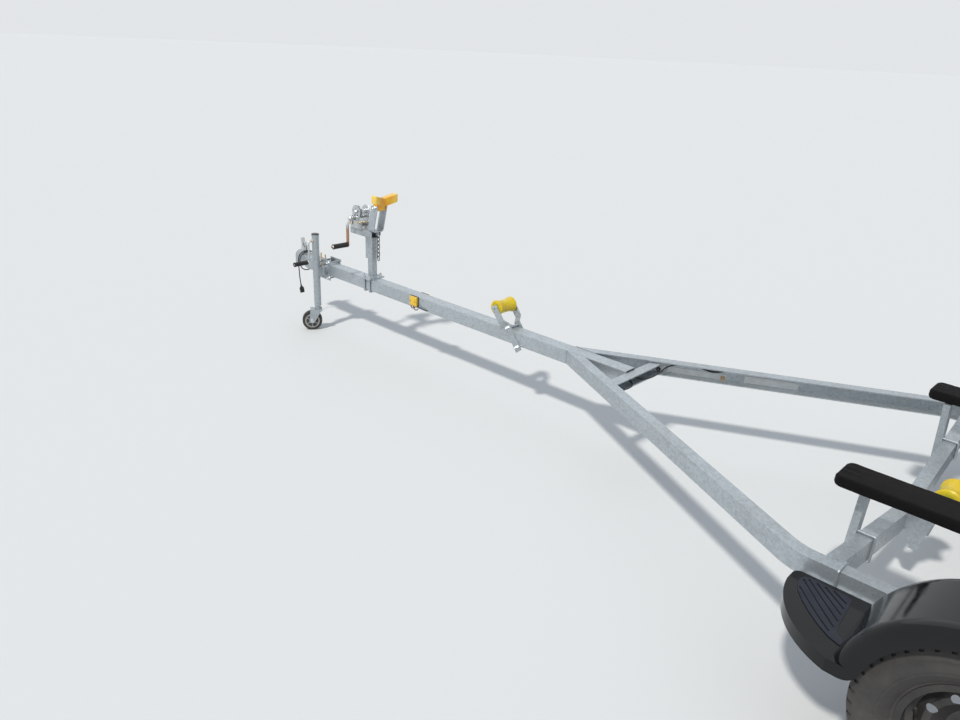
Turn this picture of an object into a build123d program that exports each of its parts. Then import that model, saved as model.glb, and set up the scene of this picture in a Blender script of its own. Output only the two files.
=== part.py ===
from build123d import *
import os
from math import atan2, cos, degrees, hypot, pi, radians, sin, tan

os.makedirs("parts", exist_ok=True)

# Single axle boat trailer on its tongue jack.
# Millimetres; +X points to the coupler, +Y to the port side, +Z up; the ground is Z = 0.

# Main frame
nose_x = 2915.0             # front face of the coupler
tongue_front_x = 2715.0
tongue_rear_x = 152.0
tongue_size = 76.2
tongue_wall = 4.0
tongue_corner = 8.0
frame_top = 442.0           # top of tongue and rails
rail_height = 70.0
rail_flange = 50.0
rail_wall = 5.0
rail_outer_y = 828.0        # outer face of each rail behind the bend
rail_tip_x = 505.0          # where the rail's web meets the tongue
rail_corner_x = -990.0      # where the sloping and straight runs would cross
rail_bend = 250.0           # outer bend radius
rail_rear_x = -2872.0
tie_depth = 50.0
tie_height = 50.0
tie_wall = 5.0

# Crossmembers, bent to a shallow V for the keel
cross_front_x = -1095.0
cross_rear_x = -2610.0
cross_width = 50.8
cross_depth = 76.2
cross_wall = 4.0
cross_gap = 0.6             # between the tube's ends and the rail flanges
cross_end_top = 446.0       # top of the tube where it meets the rails
cross_mid_top = 293.0       # top of the tube under the keel
clamp_plate = 8.0
clamp_r = 4.0

# Bunks
bunk_front_x = -976.0
bunk_rear_x = -2868.0
bunk_y = 503.0
bunk_width = 140.0
bunk_thick = 42.0
bunk_top = 602.0
bunk_round = 9.0
bunk_end = 16.0             # rounding of the carpeted ends in plan
post_y = 510.0              # outer corner of each post where it meets the crossmember
post_leg = 50.0             # across the trailer
post_flange = 25.0          # along it
post_wall = 5.0
post_foot = 76.0            # length of the plate under each bunk
post_tail = 92.0            # how far a post reaches down the crossmember's face

# Axle, springs and wheels
axle_x = -1572.0
axle_z = 298.5
axle_size = 50.8
axle_drop = 42.0            # the tube sits this far below the spindles
spindle_r = 17.0
spindle_gap = 0.6
spindle_plate = 16.0
hub_back_gap = 27.0         # from the hub's barrel to the spindle plate
spring_half = 330.0
spring_width = 45.0
seat_plate = 8.0
seat_rod = 5.0
leaf = 6.0
leaf_count = 3
leaf_step = 100.0           # each lower leaf is this much shorter on each side
leaf_rise = 38.0            # camber of the top leaf
eye_r = 14.0
eye_bore = 7.5
hanger_plate = 5.0
wheel_y = 1030.0
tyre_r = 298.5
tyre_width = 178.0
rim_r = 165.0               # bead seat
rim_width = 128.0
disc_thick = 5.0
hub_r = 72.0
hub_flange = 12.0
hub_barrel_r = 38.0
hub_barrel = 52.0           # length of the barrel behind the wheel face
cap_r = 31.0
cap_length = 52.0
stud_length = 30.0
stud_circle_r = 57.15
stud_count = 5
stud_r = 6.35
centre_hole_r = 42.0

# Fenders
fender_in_y = 840.0
fender_out_y = 1150.0
strap_x = 477.0             # fender straps, measured from the spindle
strap_width = 42.0
strap_reach = 190.0
strap_wall = 6.0
fender_r = 355.0            # crown radius about the spindle
fender_wall = 4.5
step_z = 395.0              # tread of the step
step_front = 560.0          # step's end, measured from the spindle
nose_inset = 5.0            # how far inside the crown's radius the outer edge starts to sweep in
step_tip = 60.0             # how far the sweep stops short of the inner edge
edge_in = 66.0              # rounding of the arch towards the rail
edge_out = 42.0
step_corner = 24.0          # rounding of the steps' corners by the rail, in plan
lip_in = 74.0               # depth of the lip between the arch and the rail
skirt_z = 354.0             # lower edge
skirt_round = 52.0          # rounding where the wheel opening meets the lower edge
arch_r = 274.0
arch_z = 330.0

# Coupler
ball_r = 25.4
ball_gap = 0.6
ball_x = 2872.0
ball_z = 424.0
sleeve_wall = 4.5
sleeve_rear_x = 2600.0
sleeve_front_x = 2760.0
sleeve_gap = 0.4

# Tongue jack
jack_x = 2535.0
jack_y = 112.0
jack_pivot_z = 404.0
jack_tube_r = 23.0
jack_tube_wall = 3.0
jack_top = 648.0
jack_bottom = 168.0
leg_r = 18.5
leg_wall = 3.0
leg_top = 560.0
leg_bottom = 147.0
caster_r = 65.0
caster_width = 42.0
caster_trail = 40.0
caster_turn = 56.0          # degrees that the caster stands away from straight ahead
fork_wall = 4.0
fork_gap = 4.0
pivot_r = 11.0
pivot_gap = 0.6

# Winch stand
winch_x = 2093.0
post_x_size = 63.0
post_y_size = 51.0
post_tube_wall = 4.0
post_top = 698.0
sleeve_z = 568.0            # lower end of the post's upper tube
lower_x_size = 44.0
lower_y_size = 42.0
arm_height = 44.0
arm_front_x = 2272.0
stand_plate = 8.0
stop_arm_y = 36.0
stop_arm_width = 58.0
stop_arm_wall = 6.0
stop_arm_bend = 17.0        # outer radius where the arms turn into their base
stop_half = 88.0            # half width across the wing tips
stop_deep = 44.0            # from front to back
stop_height = 47.0
stop_rise = 27.0            # the wing tips stand this much above the middle
stop_sweep = 24.0           # and this much behind it
stop_x = 2013.0             # centre of the arms' upper ends
stop_z = 909.0              # underside of the block in the middle
stop_foot_x = 2054.0        # centre of the arms' base
chain_links = 7
chain_y = -12.0

# Winch
drum_back = 90.0            # the drum stands this far behind the arm's front end
drum_z = 846.0
gear_module = 2.5
gear_teeth = 32
pinion_teeth = 12
gear_thick = 5.0
pinion_thick = 9.0
mesh_gap = 0.5              # added to the pitch distance
mesh_angle = -50.0          # the pinion lies ahead of and below the drum
winch_plate_y = 34.0        # inner faces of the side plates
winch_plate = 4.0
drum_core_r = 14.0
drum_flange_r = 37.0
crank_out = 19.0            # from the gears to the crank's arm
crank_reach = 162.0
crank_kick = 23.0           # outward bend of the arm
grip_len = 114.0

# Keel rollers
roller_half = 60.0
roller_bore = 8.6
pin_r = 8.0
tongue_roller_x = 970.0
tongue_roller_z = 543.0
tongue_roller_r = 41.0
keel_roller_x = 130.0       # rollers sit this far behind each crossmember
keel_roller_z = 388.0
keel_roller_r = 52.0
bracket_wall = 6.0
side_gap = 6.0

# Lamps
lamp_width = 150.0
lamp_height = 84.0
lamp_depth = 38.0
lamp_out = 42.0             # lamp's centre, measured from the rail's outer face
lamp_plate = 5.0
marker_x = 1640.0
marker_length = 60.0
marker_height = 56.0
marker_depth = 18.0

tongue_mid = frame_top - tongue_size / 2
rail_bottom = frame_top - rail_height
spring_y = rail_outer_y - rail_flange / 2
axle_half = wheel_y - disc_thick - hub_barrel - hub_back_gap - spindle_plate
drum_x = arm_front_x - drum_back
rail_angle = atan2(rail_outer_y - tongue_size / 2, rail_tip_x - rail_corner_x)


def rail_line(depth):
    """Corner points of the rail's plan line, set inwards from its outer face."""
    tip_x = rail_tip_x - depth / sin(rail_angle)
    corner_y = rail_outer_y - depth
    run = corner_y - tongue_size / 2
    corner_x = tip_x - run / tan(rail_angle)
    return [(tip_x, tongue_size / 2), (corner_x, corner_y), (rail_rear_x, corner_y)]


def rail_strip(depth):
    """Plan outline of a strip along the rail, from its outer face inwards."""
    outer = rail_line(0)
    inner = rail_line(depth)
    with BuildLine() as outline:
        a = FilletPolyline(*outer, radius=rail_bend)
        b = FilletPolyline(*inner, radius=rail_bend - depth)
        Line(a @ 0, b @ 0)
        Line(a @ 1, b @ 1)
    make_face(outline.line)


def bent_rod(plane, points, bend, radius):
    """Round bar along straight runs with bends, drawn in the plane's own axes."""
    with BuildLine(plane) as route:
        FilletPolyline(*points, radius=bend)
    with BuildSketch(Plane(origin=route.line @ 0, z_dir=route.line % 0)) as section:
        Circle(radius)
    sweep(sections=section.sketch, path=route.line)


def gear_points(teeth, module, thin, root_wide):
    """Outline of a spur gear; the first tooth points along the local x axis."""
    pitch_r = module * teeth / 2
    tip_r = pitch_r + 0.85 * module
    root_r = pitch_r - 1.2 * module
    half = pi * module / 4 * thin
    tip_half = half - 0.85 * module * tan(radians(20))
    points = []
    for k in range(teeth):
        mid = 2 * pi * k / teeth
        for r, w in [(root_r, half * root_wide), (pitch_r, half), (tip_r, tip_half)]:
            points.append((r, mid - w / r))
        for r, w in [(tip_r, tip_half), (pitch_r, half), (root_r, half * root_wide)]:
            points.append((r, mid + w / r))
    return [(r * cos(a), r * sin(a)) for r, a in points]


# Tongue: square tube from the front tie to the coupler
with BuildPart() as tongue:
    with BuildSketch(Plane.YZ.offset(tongue_rear_x)):
        with Locations((0, tongue_mid)):
            RectangleRounded(tongue_size, tongue_size, tongue_corner)
            RectangleRounded(tongue_size - 2 * tongue_wall, tongue_size - 2 * tongue_wall,
                             tongue_corner - tongue_wall, mode=Mode.SUBTRACT)
    extrude(amount=tongue_front_x - tongue_rear_x)
tongue.part.label = "tongue"
export_step(tongue.part, "parts/tongue.step")

# Side rails: channels, open inwards, from the tongue round the bend to the tail
with BuildPart() as side_rail_left:
    for flange_z in (rail_bottom, frame_top - rail_wall):
        with BuildSketch(Plane.XY.offset(flange_z)):
            rail_strip(rail_flange)
        extrude(amount=rail_wall)
    with BuildSketch(Plane.XY.offset(rail_bottom)):
        rail_strip(rail_wall)
    extrude(amount=rail_height)
side_rail_left.part.label = "side_rail_left"
export_step(side_rail_left.part, "parts/side_rail_left.step")

with BuildPart() as side_rail_right:
    mirror(side_rail_left.part, about=Plane.XZ)
side_rail_right.part.label = "side_rail_right"
export_step(side_rail_right.part, "parts/side_rail_right.step")

# Front tie: channel across the rails behind the tongue's end
rail_inner_x, rail_inner_y = rail_line(rail_flange)[0]
tie_front_half = rail_inner_y + (rail_inner_x - tongue_rear_x) * tan(rail_angle)
tie_rear_half = tie_front_half + tie_depth * tan(rail_angle)
tie_top = frame_top - 10.0
with BuildPart() as front_tie:
    with BuildSketch(Plane.XY.offset(tie_top - tie_height)):
        Polygon((tongue_rear_x, -tie_front_half), (tongue_rear_x, tie_front_half),
                (tongue_rear_x - tie_depth, tie_rear_half), (tongue_rear_x - tie_depth, -tie_rear_half),
                align=None)
    extrude(amount=tie_height)
    with Locations((tongue_rear_x - tie_depth / 2 - tie_wall, 0, tie_top - tie_height / 2)):
        Box(tie_depth, 2 * tie_rear_half + 20, tie_height - 2 * tie_wall, mode=Mode.SUBTRACT)
front_tie.part.label = "front_tie"
export_step(front_tie.part, "parts/front_tie.step")

# Crossmembers: square tubes bent to a V, butted against the rails' open sides
cross_half = rail_outer_y - rail_flange - cross_gap
cross_slope = (cross_end_top - cross_mid_top) / cross_half
cross_tall = cross_depth * hypot(1, cross_slope)


def cross_face(top_drop, tall):
    """V band across the trailer, seen from behind."""
    end = cross_end_top - top_drop
    mid = cross_mid_top - top_drop
    Polygon((-cross_half, end), (0, mid), (cross_half, end), (cross_half, end - tall), (0, mid - tall),
            (-cross_half, end - tall), align=None)


cross_rows = [("crossmember_front", cross_front_x), ("crossmember_rear", cross_rear_x)]
cross_parts = []
for cross_name, cross_x in cross_rows:
    with BuildPart() as crossmember:
        with BuildSketch(Plane.YZ.offset(cross_x - cross_width / 2)):
            cross_face(0, cross_tall)
        extrude(amount=cross_width)
        with BuildSketch(Plane.YZ.offset(cross_x - cross_width / 2 + cross_wall)):
            cross_face(cross_wall, cross_tall - 2 * cross_wall)
        extrude(amount=cross_width - 2 * cross_wall, mode=Mode.SUBTRACT)
    crossmember.part.label = cross_name
    export_step(crossmember.part, "parts/" + cross_name + ".step")
    cross_parts.append(crossmember.part)


def cross_top(y):
    """Height of a crossmember's top face at a place across the trailer."""
    return cross_mid_top + cross_slope * abs(y)


# Rail clamps: plates under the crossmember ends, each drawn up round the rail by a U-bolt behind it
plate_reach = 70.0
clamp_tail = 22.0           # the plate shows this much behind the crossmember
plate_out_y = rail_outer_y + 16.0
plate_in_y = plate_out_y - plate_reach
plate_z = cross_top(plate_in_y) - cross_tall - 0.3 - clamp_plate / 2
clamp_leg = rail_flange / 2 + clamp_r + 1.0
with BuildPart() as rail_clamps:
    for cross_name, cross_x in cross_rows:
        for side in (-1, 1):
            with Locations((cross_x - clamp_tail / 2, side * (plate_out_y + plate_in_y) / 2, plate_z)):
                Box(cross_width + clamp_tail, plate_reach, clamp_plate)
            bolt_x = cross_x - cross_width / 2 - clamp_r - 2
            rail_mid_y = rail_outer_y - rail_flange / 2
            plane = Plane(origin=(bolt_x, side * rail_mid_y, 0), x_dir=(0, 1, 0), z_dir=(1, 0, 0))
            low = plate_z - 18
            high = frame_top + clamp_r + 0.5
            bent_rod(plane, [(-clamp_leg, low), (-clamp_leg, high), (clamp_leg, high), (clamp_leg, low)],
                     6, clamp_r)
rail_clamps.part.label = "rail_clamps"
export_step(rail_clamps.part, "parts/rail_clamps.step")

# Bunk posts: channels square to the sloping crossmembers, each with a square U-bolt and a foot plate
bunk_bottom = bunk_top - bunk_thick
post_lean = atan2(cross_slope, 1)
strap_r = 5.0
with BuildPart() as bunk_posts:
    for cross_name, cross_x in cross_rows:
        for side in (-1, 1):
            face_x = cross_x + cross_width / 2
            tilt = (0, -side * sin(post_lean), cos(post_lean))
            base = Plane(origin=(face_x, side * post_y, cross_top(post_y)), x_dir=(1, 0, 0), z_dir=tilt)
            reach = (bunk_bottom - cross_top(post_y)) / cos(post_lean) + post_leg
            with BuildSketch(base.offset(-post_tail)):
                with Locations((post_wall / 2, -side * post_leg / 2)):
                    Rectangle(post_wall, post_leg)
                with Locations((post_flange / 2, -side * post_wall / 2),
                               (post_flange / 2, -side * (post_leg - post_wall / 2))):
                    Rectangle(post_flange, post_wall)
            extrude(amount=post_tail + reach)
            across = Plane(origin=(face_x, side * post_y, cross_top(post_y)), x_dir=(1, 0, 0),
                           z_dir=(0, side * cos(post_lean), sin(post_lean)))
            rod_y = -post_leg / 2
            up = side * (strap_r + 0.6)
            down = -side * (cross_depth + strap_r + 0.6)
            front = post_wall + 16
            back = -cross_width - strap_r - 0.8
            rod_points = [(front, -up), (back, -up), (back, -down), (front, -down)]
            bent_rod(across.offset(rod_y), rod_points, 6, strap_r)
            with Locations((face_x + post_leg / 2, side * bunk_y, bunk_bottom + post_leg)):
                Box(2 * post_leg, 6 * post_leg, 2 * post_leg, mode=Mode.SUBTRACT)
            lean_in = (bunk_bottom - cross_top(post_y)) * tan(post_lean)
            top_y = post_y - lean_in - post_leg / 2
            foot_y = side * (top_y + post_foot / 4)
            with Locations((face_x + post_flange / 2, foot_y, bunk_bottom - post_wall / 2)):
                Box(post_flange, post_foot, post_wall)
bunk_posts.part.label = "bunk_posts"
export_step(bunk_posts.part, "parts/bunk_posts.step")

# Bunks: carpeted boards with rounded ends
for bunk_name, side in [("bunk_left", 1), ("bunk_right", -1)]:
    with BuildPart() as bunk:
        with BuildSketch(Plane.XY.offset(bunk_top - bunk_thick)):
            with Locations(((bunk_front_x + bunk_rear_x) / 2, side * bunk_y)):
                RectangleRounded(bunk_front_x - bunk_rear_x, bunk_width, bunk_end)
        extrude(amount=bunk_thick)
        rims = bunk.faces().sort_by(Axis.Z)[-1].edges() + bunk.faces().sort_by(Axis.Z)[0].edges()
        fillet(rims, bunk_round)
    bunk.part.label = bunk_name
    export_step(bunk.part, "parts/" + bunk_name + ".step")

# Axle: square tube hung below the springs, with spindle plates and spindles at its ends
tube_z = axle_z - axle_drop
tube_top = tube_z + axle_size / 2
with BuildPart() as axle:
    with Locations((axle_x, 0, tube_z)):
        Box(axle_size, 2 * axle_half, axle_size)
    for side in (-1, 1):
        with Locations((axle_x, side * (axle_half + spindle_plate / 2), (tube_z + axle_z) / 2)):
            Box(axle_size + 12, spindle_plate, axle_drop + axle_size + 16)
        spindle_length = hub_back_gap + hub_barrel + cap_length / 4
        with Locations((axle_x, side * (axle_half + spindle_plate + spindle_length / 2), axle_z)):
            Cylinder(spindle_r, spindle_length, rotation=(90, 0, 0))
axle.part.label = "axle"
export_step(axle.part, "parts/axle.step")

# Leaf springs: nested arcs, longest on top, with an eye at each end
top_leaf_z = tube_top + leaf * (leaf_count - 1)
bow_r = (spring_half ** 2 + leaf_rise ** 2) / (2 * leaf_rise)
centre_z = top_leaf_z + bow_r
with BuildPart() as leaf_springs:
    for side in (-1, 1):
        for k in range(leaf_count):
            half = spring_half - leaf_step * k
            r_in = bow_r + leaf * k - leaf
            r_out = r_in + leaf
            turn = half / bow_r
            with BuildSketch(Plane.XZ.offset(-side * spring_y)):
                with BuildLine():
                    a = [(axle_x + r * sin(t), centre_z - r * cos(t)) for r, t in
                         [(r_in, -turn), (r_in, 0), (r_in, turn)]]
                    b = [(axle_x + r * sin(t), centre_z - r * cos(t)) for r, t in
                         [(r_out, -turn), (r_out, 0), (r_out, turn)]]
                    ThreePointArc(*a)
                    ThreePointArc(*b)
                    Line(a[0], b[0])
                    Line(a[2], b[2])
                make_face()
            extrude(amount=spring_width / 2, both=True)
        for end in (-1, 1):
            turn = spring_half / bow_r
            eye_x = axle_x + end * (bow_r * sin(turn) + eye_r - 2)
            eye_z = centre_z - bow_r * cos(turn) + 4
            with Locations((eye_x, side * spring_y, eye_z)):
                Cylinder(eye_r, spring_width, rotation=(90, 0, 0))
                Cylinder(eye_bore, spring_width, rotation=(90, 0, 0), mode=Mode.SUBTRACT)
leaf_springs.part.label = "leaf_springs"
export_step(leaf_springs.part, "parts/leaf_springs.step")
eye_out = bow_r * sin(spring_half / bow_r) + eye_r - 2
eye_height = centre_z - bow_r * cos(spring_half / bow_r) + 4

# Spring hangers: pairs of cheeks under the rails holding the eye pins
with BuildPart() as spring_hangers:
    for side in (-1, 1):
        for end in (-1, 1):
            x0 = axle_x + end * eye_out
            for cheek in (-1, 1):
                y0 = side * spring_y + cheek * (spring_width / 2 + 1 + hanger_plate / 2)
                with BuildSketch(Plane.XZ.offset(-y0)):
                    Polygon((x0 - 45, rail_bottom), (x0 + 45, rail_bottom), (x0 + 20, eye_height - 24),
                            (x0 - 20, eye_height - 24), align=None)
                extrude(amount=hanger_plate / 2, both=True)
            with Locations((x0, side * spring_y, eye_height)):
                Cylinder(7, spring_width + 40, rotation=(90, 0, 0))
spring_hangers.part.label = "spring_hangers"
export_step(spring_hangers.part, "parts/spring_hangers.step")

# Spring seats: plates and U-bolts tying the springs to the axle tube
with BuildPart() as spring_seats:
    for side in (-1, 1):
        with Locations((axle_x, side * spring_y, tube_z - axle_size / 2 - seat_plate / 2)):
            Box(axle_size + 60, spring_width + 44, seat_plate)
        for end in (-1, 1):
            bolt_x = axle_x + end * (axle_size / 2 + seat_rod + 3)
            plane = Plane(origin=(bolt_x, side * spring_y, 0), x_dir=(0, 1, 0), z_dir=(1, 0, 0))
            low = tube_z - axle_size / 2 - seat_plate - 18
            high = tube_top + leaf * leaf_count + seat_rod + 4
            leg = spring_width / 2 + seat_rod + 2.5
            bent_rod(plane, [(-leg, low), (-leg, high), (leg, high), (leg, low)], 12, seat_rod)
spring_seats.part.label = "spring_seats"
export_step(spring_seats.part, "parts/spring_seats.step")

# Wheels: tyre, pressed rim and hub turn together on each spindle
for side_name, side in [("left", 1), ("right", -1)]:
    wy = side * wheel_y
    half = tyre_width / 2
    bead = rim_width / 2 - 4.6
    spin = Axis((axle_x, wy, axle_z), (0, 1, 0))
    with BuildPart() as tyre:
        with BuildSketch(Plane.YZ.offset(axle_x)):
            with BuildLine():
                top = axle_z + tyre_r
                tread = [(wy - 62, top - 7), (wy, top), (wy + 62, top - 7)]
                ThreePointArc(*tread)
                Polyline(tread[2], (wy + half - 7, axle_z + tyre_r - 34))
                ThreePointArc((wy + half - 7, axle_z + tyre_r - 34), (wy + half, axle_z + tyre_r - 72),
                              (wy + bead, axle_z + rim_r + 16))
                Polyline((wy + bead, axle_z + rim_r + 16), (wy + bead, axle_z + rim_r + 1.5),
                         (wy - bead, axle_z + rim_r + 1.5), (wy - bead, axle_z + rim_r + 16))
                ThreePointArc((wy - bead, axle_z + rim_r + 16), (wy - half, axle_z + tyre_r - 72),
                              (wy - half + 7, axle_z + tyre_r - 34))
                Polyline((wy - half + 7, axle_z + tyre_r - 34), tread[0])
            make_face()
        revolve(axis=spin)
    tyre.part.label = "tyre_" + side_name
    export_step(tyre.part, "parts/tyre_" + side_name + ".step")

    with BuildPart() as rim:
        edge = rim_width / 2
        with BuildSketch(Plane.YZ.offset(axle_x)):
            Polygon((wy - edge, axle_z + rim_r + 14), (wy - edge, axle_z + rim_r - 3),
                    (wy - 22, axle_z + rim_r - 3), (wy - 14, axle_z + rim_r - 20),
                    (wy + 14, axle_z + rim_r - 20), (wy + 22, axle_z + rim_r - 3),
                    (wy + edge, axle_z + rim_r - 3), (wy + edge, axle_z + rim_r + 14),
                    (wy + edge - 4, axle_z + rim_r + 14), (wy + edge - 4, axle_z + rim_r + 1),
                    (wy + 19, axle_z + rim_r + 1), (wy + 11, axle_z + rim_r - 16),
                    (wy - 11, axle_z + rim_r - 16), (wy - 19, axle_z + rim_r + 1),
                    (wy - edge + 4, axle_z + rim_r + 1), (wy - edge + 4, axle_z + rim_r + 14), align=None)
            with BuildLine():
                s = side
                Polyline((wy, axle_z + centre_hole_r), (wy, axle_z + 78), (wy + s * 26, axle_z + 108),
                         (wy + s * 26, axle_z + 124), (wy + s * 8, axle_z + rim_r - 19),
                         (wy + s * 3, axle_z + rim_r - 19), (wy + s * 21, axle_z + 122),
                         (wy + s * 21, axle_z + 110), (wy - s * 5, axle_z + 80),
                         (wy - s * 5, axle_z + centre_hole_r), (wy, axle_z + centre_hole_r))
            make_face()
        revolve(axis=spin)
        with Locations(Plane(origin=(axle_x, wy, axle_z), x_dir=(1, 0, 0), z_dir=(0, 1, 0))):
            with PolarLocations(stud_circle_r, stud_count):
                Cylinder(stud_r + 0.8, 60, mode=Mode.SUBTRACT)
            with PolarLocations(116, 10, start_angle=18):
                Cylinder(14, 120, mode=Mode.SUBTRACT)
    rim.part.label = "rim_" + side_name
    export_step(rim.part, "parts/rim_" + side_name + ".step")

    with BuildPart() as hub:
        y_face = wy - side * disc_thick
        bore = spindle_r + spindle_gap
        with BuildSketch(Plane.YZ.offset(axle_x)):
            Polygon((y_face - side * hub_barrel, axle_z + bore),
                    (y_face - side * hub_barrel, axle_z + hub_barrel_r),
                    (y_face - side * hub_flange, axle_z + hub_barrel_r),
                    (y_face - side * hub_flange, axle_z + hub_r), (y_face, axle_z + hub_r),
                    (y_face, axle_z + hub_barrel_r), (y_face + side * 22, axle_z + cap_r),
                    (y_face + side * (cap_length - 4), axle_z + cap_r),
                    (y_face + side * cap_length, axle_z + cap_r - 5), (y_face + side * cap_length, axle_z),
                    (y_face + side * (cap_length - 12), axle_z),
                    (y_face + side * (cap_length - 12), axle_z + bore),
                    align=None)
        revolve(axis=spin)
        with Locations(Plane(origin=(axle_x, y_face, axle_z), x_dir=(1, 0, 0), z_dir=(0, side, 0))):
            with PolarLocations(stud_circle_r, stud_count):
                Cylinder(stud_r, stud_length, align=(Align.CENTER, Align.CENTER, Align.MIN))
    hub.part.label = "hub_" + side_name
    export_step(hub.part, "parts/hub_" + side_name + ".step")

# Fenders: moulded shells with a step at each end, open below and towards the rail
def fender_plan(inset):
    """Plan outline with the outer corners swept in, drawn for the port side."""
    tip_x = step_front - inset
    outer = fender_out_y - inset
    inner = fender_in_y + inset
    tip_y = fender_in_y + step_tip - inset
    nose_x = fender_r - nose_inset - inset / 2
    bulge_x = (tip_x + nose_x) / 2 + 42 - inset / 2
    bulge_y = (tip_y + outer) / 2 + 24 - inset / 2
    with BuildLine() as outline:
        Line((axle_x - tip_x, inner), (axle_x + tip_x, inner))
        Line((axle_x + tip_x, inner), (axle_x + tip_x, tip_y))
        ThreePointArc((axle_x + tip_x, tip_y), (axle_x + bulge_x, bulge_y), (axle_x + nose_x, outer))
        Line((axle_x + nose_x, outer), (axle_x - nose_x, outer))
        ThreePointArc((axle_x - nose_x, outer), (axle_x - bulge_x, bulge_y), (axle_x - tip_x, tip_y))
        Line((axle_x - tip_x, tip_y), (axle_x - tip_x, inner))
    make_face(outline.line)


def fender_side(inset):
    """Side outline: arch over the wheel with a step tread at each end."""
    crown = fender_r - inset
    tread_z = step_z - inset
    low = skirt_z - 30 * (inset > 0)
    meet = (crown ** 2 - (tread_z - axle_z) ** 2) ** 0.5
    with BuildLine() as outline:
        end = step_front + 9
        Polyline((axle_x + meet, tread_z), (axle_x + end, tread_z), (axle_x + end, low),
                 (axle_x - end, low), (axle_x - end, tread_z), (axle_x - meet, tread_z))
        ThreePointArc((axle_x - meet, tread_z), (axle_x, axle_z + crown), (axle_x + meet, tread_z))
    make_face(outline.line)


def fender_form(inset):
    """Solid with the fender's outer or inner shape, for the port side."""
    with BuildPart() as form:
        with BuildSketch(Plane.XY):
            fender_plan(inset)
        extrude(amount=axle_z + fender_r + 50)
        fillet(form.edges().filter_by(Axis.Z).group_by(Axis.Y)[0], step_corner - inset)
        with BuildSketch(Plane.XZ.offset(-fender_in_y + 60)):
            fender_side(inset)
        extrude(amount=-(fender_out_y - fender_in_y + 120), mode=Mode.INTERSECT)
        for end, rounding in ((-1, edge_out), (0, edge_in)):
            crown = form.faces().filter_by(GeomType.CYLINDER).sort_by(Axis.Z)[-1]
            arcs = crown.edges().filter_by(GeomType.CIRCLE).sort_by(Axis.Y)
            fillet(arcs[end], rounding - inset)
    return form.part


fender_outside = fender_form(0)
fender_inside = fender_form(fender_wall)
with BuildPart() as fender_left:
    add(fender_outside)
    add(fender_inside, mode=Mode.SUBTRACT)
    with BuildSketch(Plane.XZ.offset(-fender_out_y - 30)) as opening:
        with Locations((axle_x, arch_z)):
            Circle(arch_r)
        with Locations((axle_x, skirt_z - 40)):
            Rectangle(2 * step_front + 100, 80)
        corners = opening.vertices().filter_by_position(Axis.Y, skirt_z - 0.01, skirt_z + 0.01)
        corners = corners.filter_by_position(Axis.X, axle_x - arch_r - 1, axle_x + arch_r + 1)
        fillet(corners, skirt_round)
    extrude(amount=60, mode=Mode.SUBTRACT)
    with Locations((axle_x, fender_in_y, axle_z)):
        Cylinder(fender_r - lip_in, 40, rotation=(90, 0, 0), mode=Mode.SUBTRACT)
    with Locations((axle_x, fender_in_y, step_z - fender_wall)):
        Box(2 * step_front + 20, 2 * fender_wall + 0.4, 120, align=(Align.CENTER, Align.CENTER, Align.MAX),
            mode=Mode.SUBTRACT)
fender_left.part.label = "fender_left"
export_step(fender_left.part, "parts/fender_left.step")

with BuildPart() as fender_right:
    mirror(fender_left.part, about=Plane.XZ)
fender_right.part.label = "fender_right"
export_step(fender_right.part, "parts/fender_right.step")

# Fender brackets: straps from the rail's web under each step
with BuildPart() as fender_brackets:
    for side in (-1, 1):
        for end in (-1, 1):
            bx = axle_x + end * strap_x
            under = step_z - fender_wall
            with Locations((bx, side * (rail_outer_y + strap_reach / 2), under - strap_wall / 2)):
                Box(strap_width, strap_reach, strap_wall)
            with Locations((bx, side * (rail_outer_y + strap_wall / 2), under - 3 * strap_wall / 2)):
                Box(strap_width, strap_wall, 3 * strap_wall)
fender_brackets.part.label = "fender_brackets"
export_step(fender_brackets.part, "parts/fender_brackets.step")

# Coupler: sleeve round the tongue's end, tapered neck and ball socket
sleeve_half = tongue_size / 2 + sleeve_gap + sleeve_wall
latch_x = 2836.0
latch_z = ball_z + 34
with BuildPart() as coupler:
    with BuildSketch(Plane.YZ.offset(sleeve_rear_x)):
        with Locations((0, tongue_mid)):
            RectangleRounded(2 * sleeve_half, 2 * sleeve_half, tongue_corner + sleeve_wall)
    with BuildSketch(Plane.YZ.offset(sleeve_front_x)):
        with Locations((0, tongue_mid)):
            RectangleRounded(2 * sleeve_half, 2 * sleeve_half, tongue_corner + sleeve_wall)
    loft()
    with BuildSketch(Plane.YZ.offset(sleeve_front_x)):
        with Locations((0, tongue_mid)):
            RectangleRounded(2 * sleeve_half, 2 * sleeve_half, tongue_corner + sleeve_wall)
    with BuildSketch(Plane.YZ.offset(ball_x - 8)):
        with Locations((0, ball_z + 8)):
            RectangleRounded(68, 52, 12)
    loft()
    with Locations((ball_x, 0, ball_z)):
        Sphere(nose_x - ball_x)
    with Locations((ball_x, 0, ball_z - 26)):
        Cylinder(nose_x - ball_x, 52)
    with Locations((ball_x, 0, ball_z)):
        Sphere(ball_r + ball_gap, mode=Mode.SUBTRACT)
    with Locations((ball_x, 0, ball_z - 40)):
        Cylinder(ball_r + ball_gap, 80, mode=Mode.SUBTRACT)
    with Locations(((sleeve_rear_x + tongue_front_x) / 2, 0, tongue_mid)):
        Box(tongue_front_x - sleeve_rear_x + 0.8, tongue_size + 2 * sleeve_gap, tongue_size + 2 * sleeve_gap,
            mode=Mode.SUBTRACT)
    with Locations((latch_x, 0, latch_z - 8.4)):
        Box(29, 24.8, 60, align=(Align.CENTER, Align.CENTER, Align.MIN), mode=Mode.SUBTRACT)
coupler.part.label = "coupler"
export_step(coupler.part, "parts/coupler.step")

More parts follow.
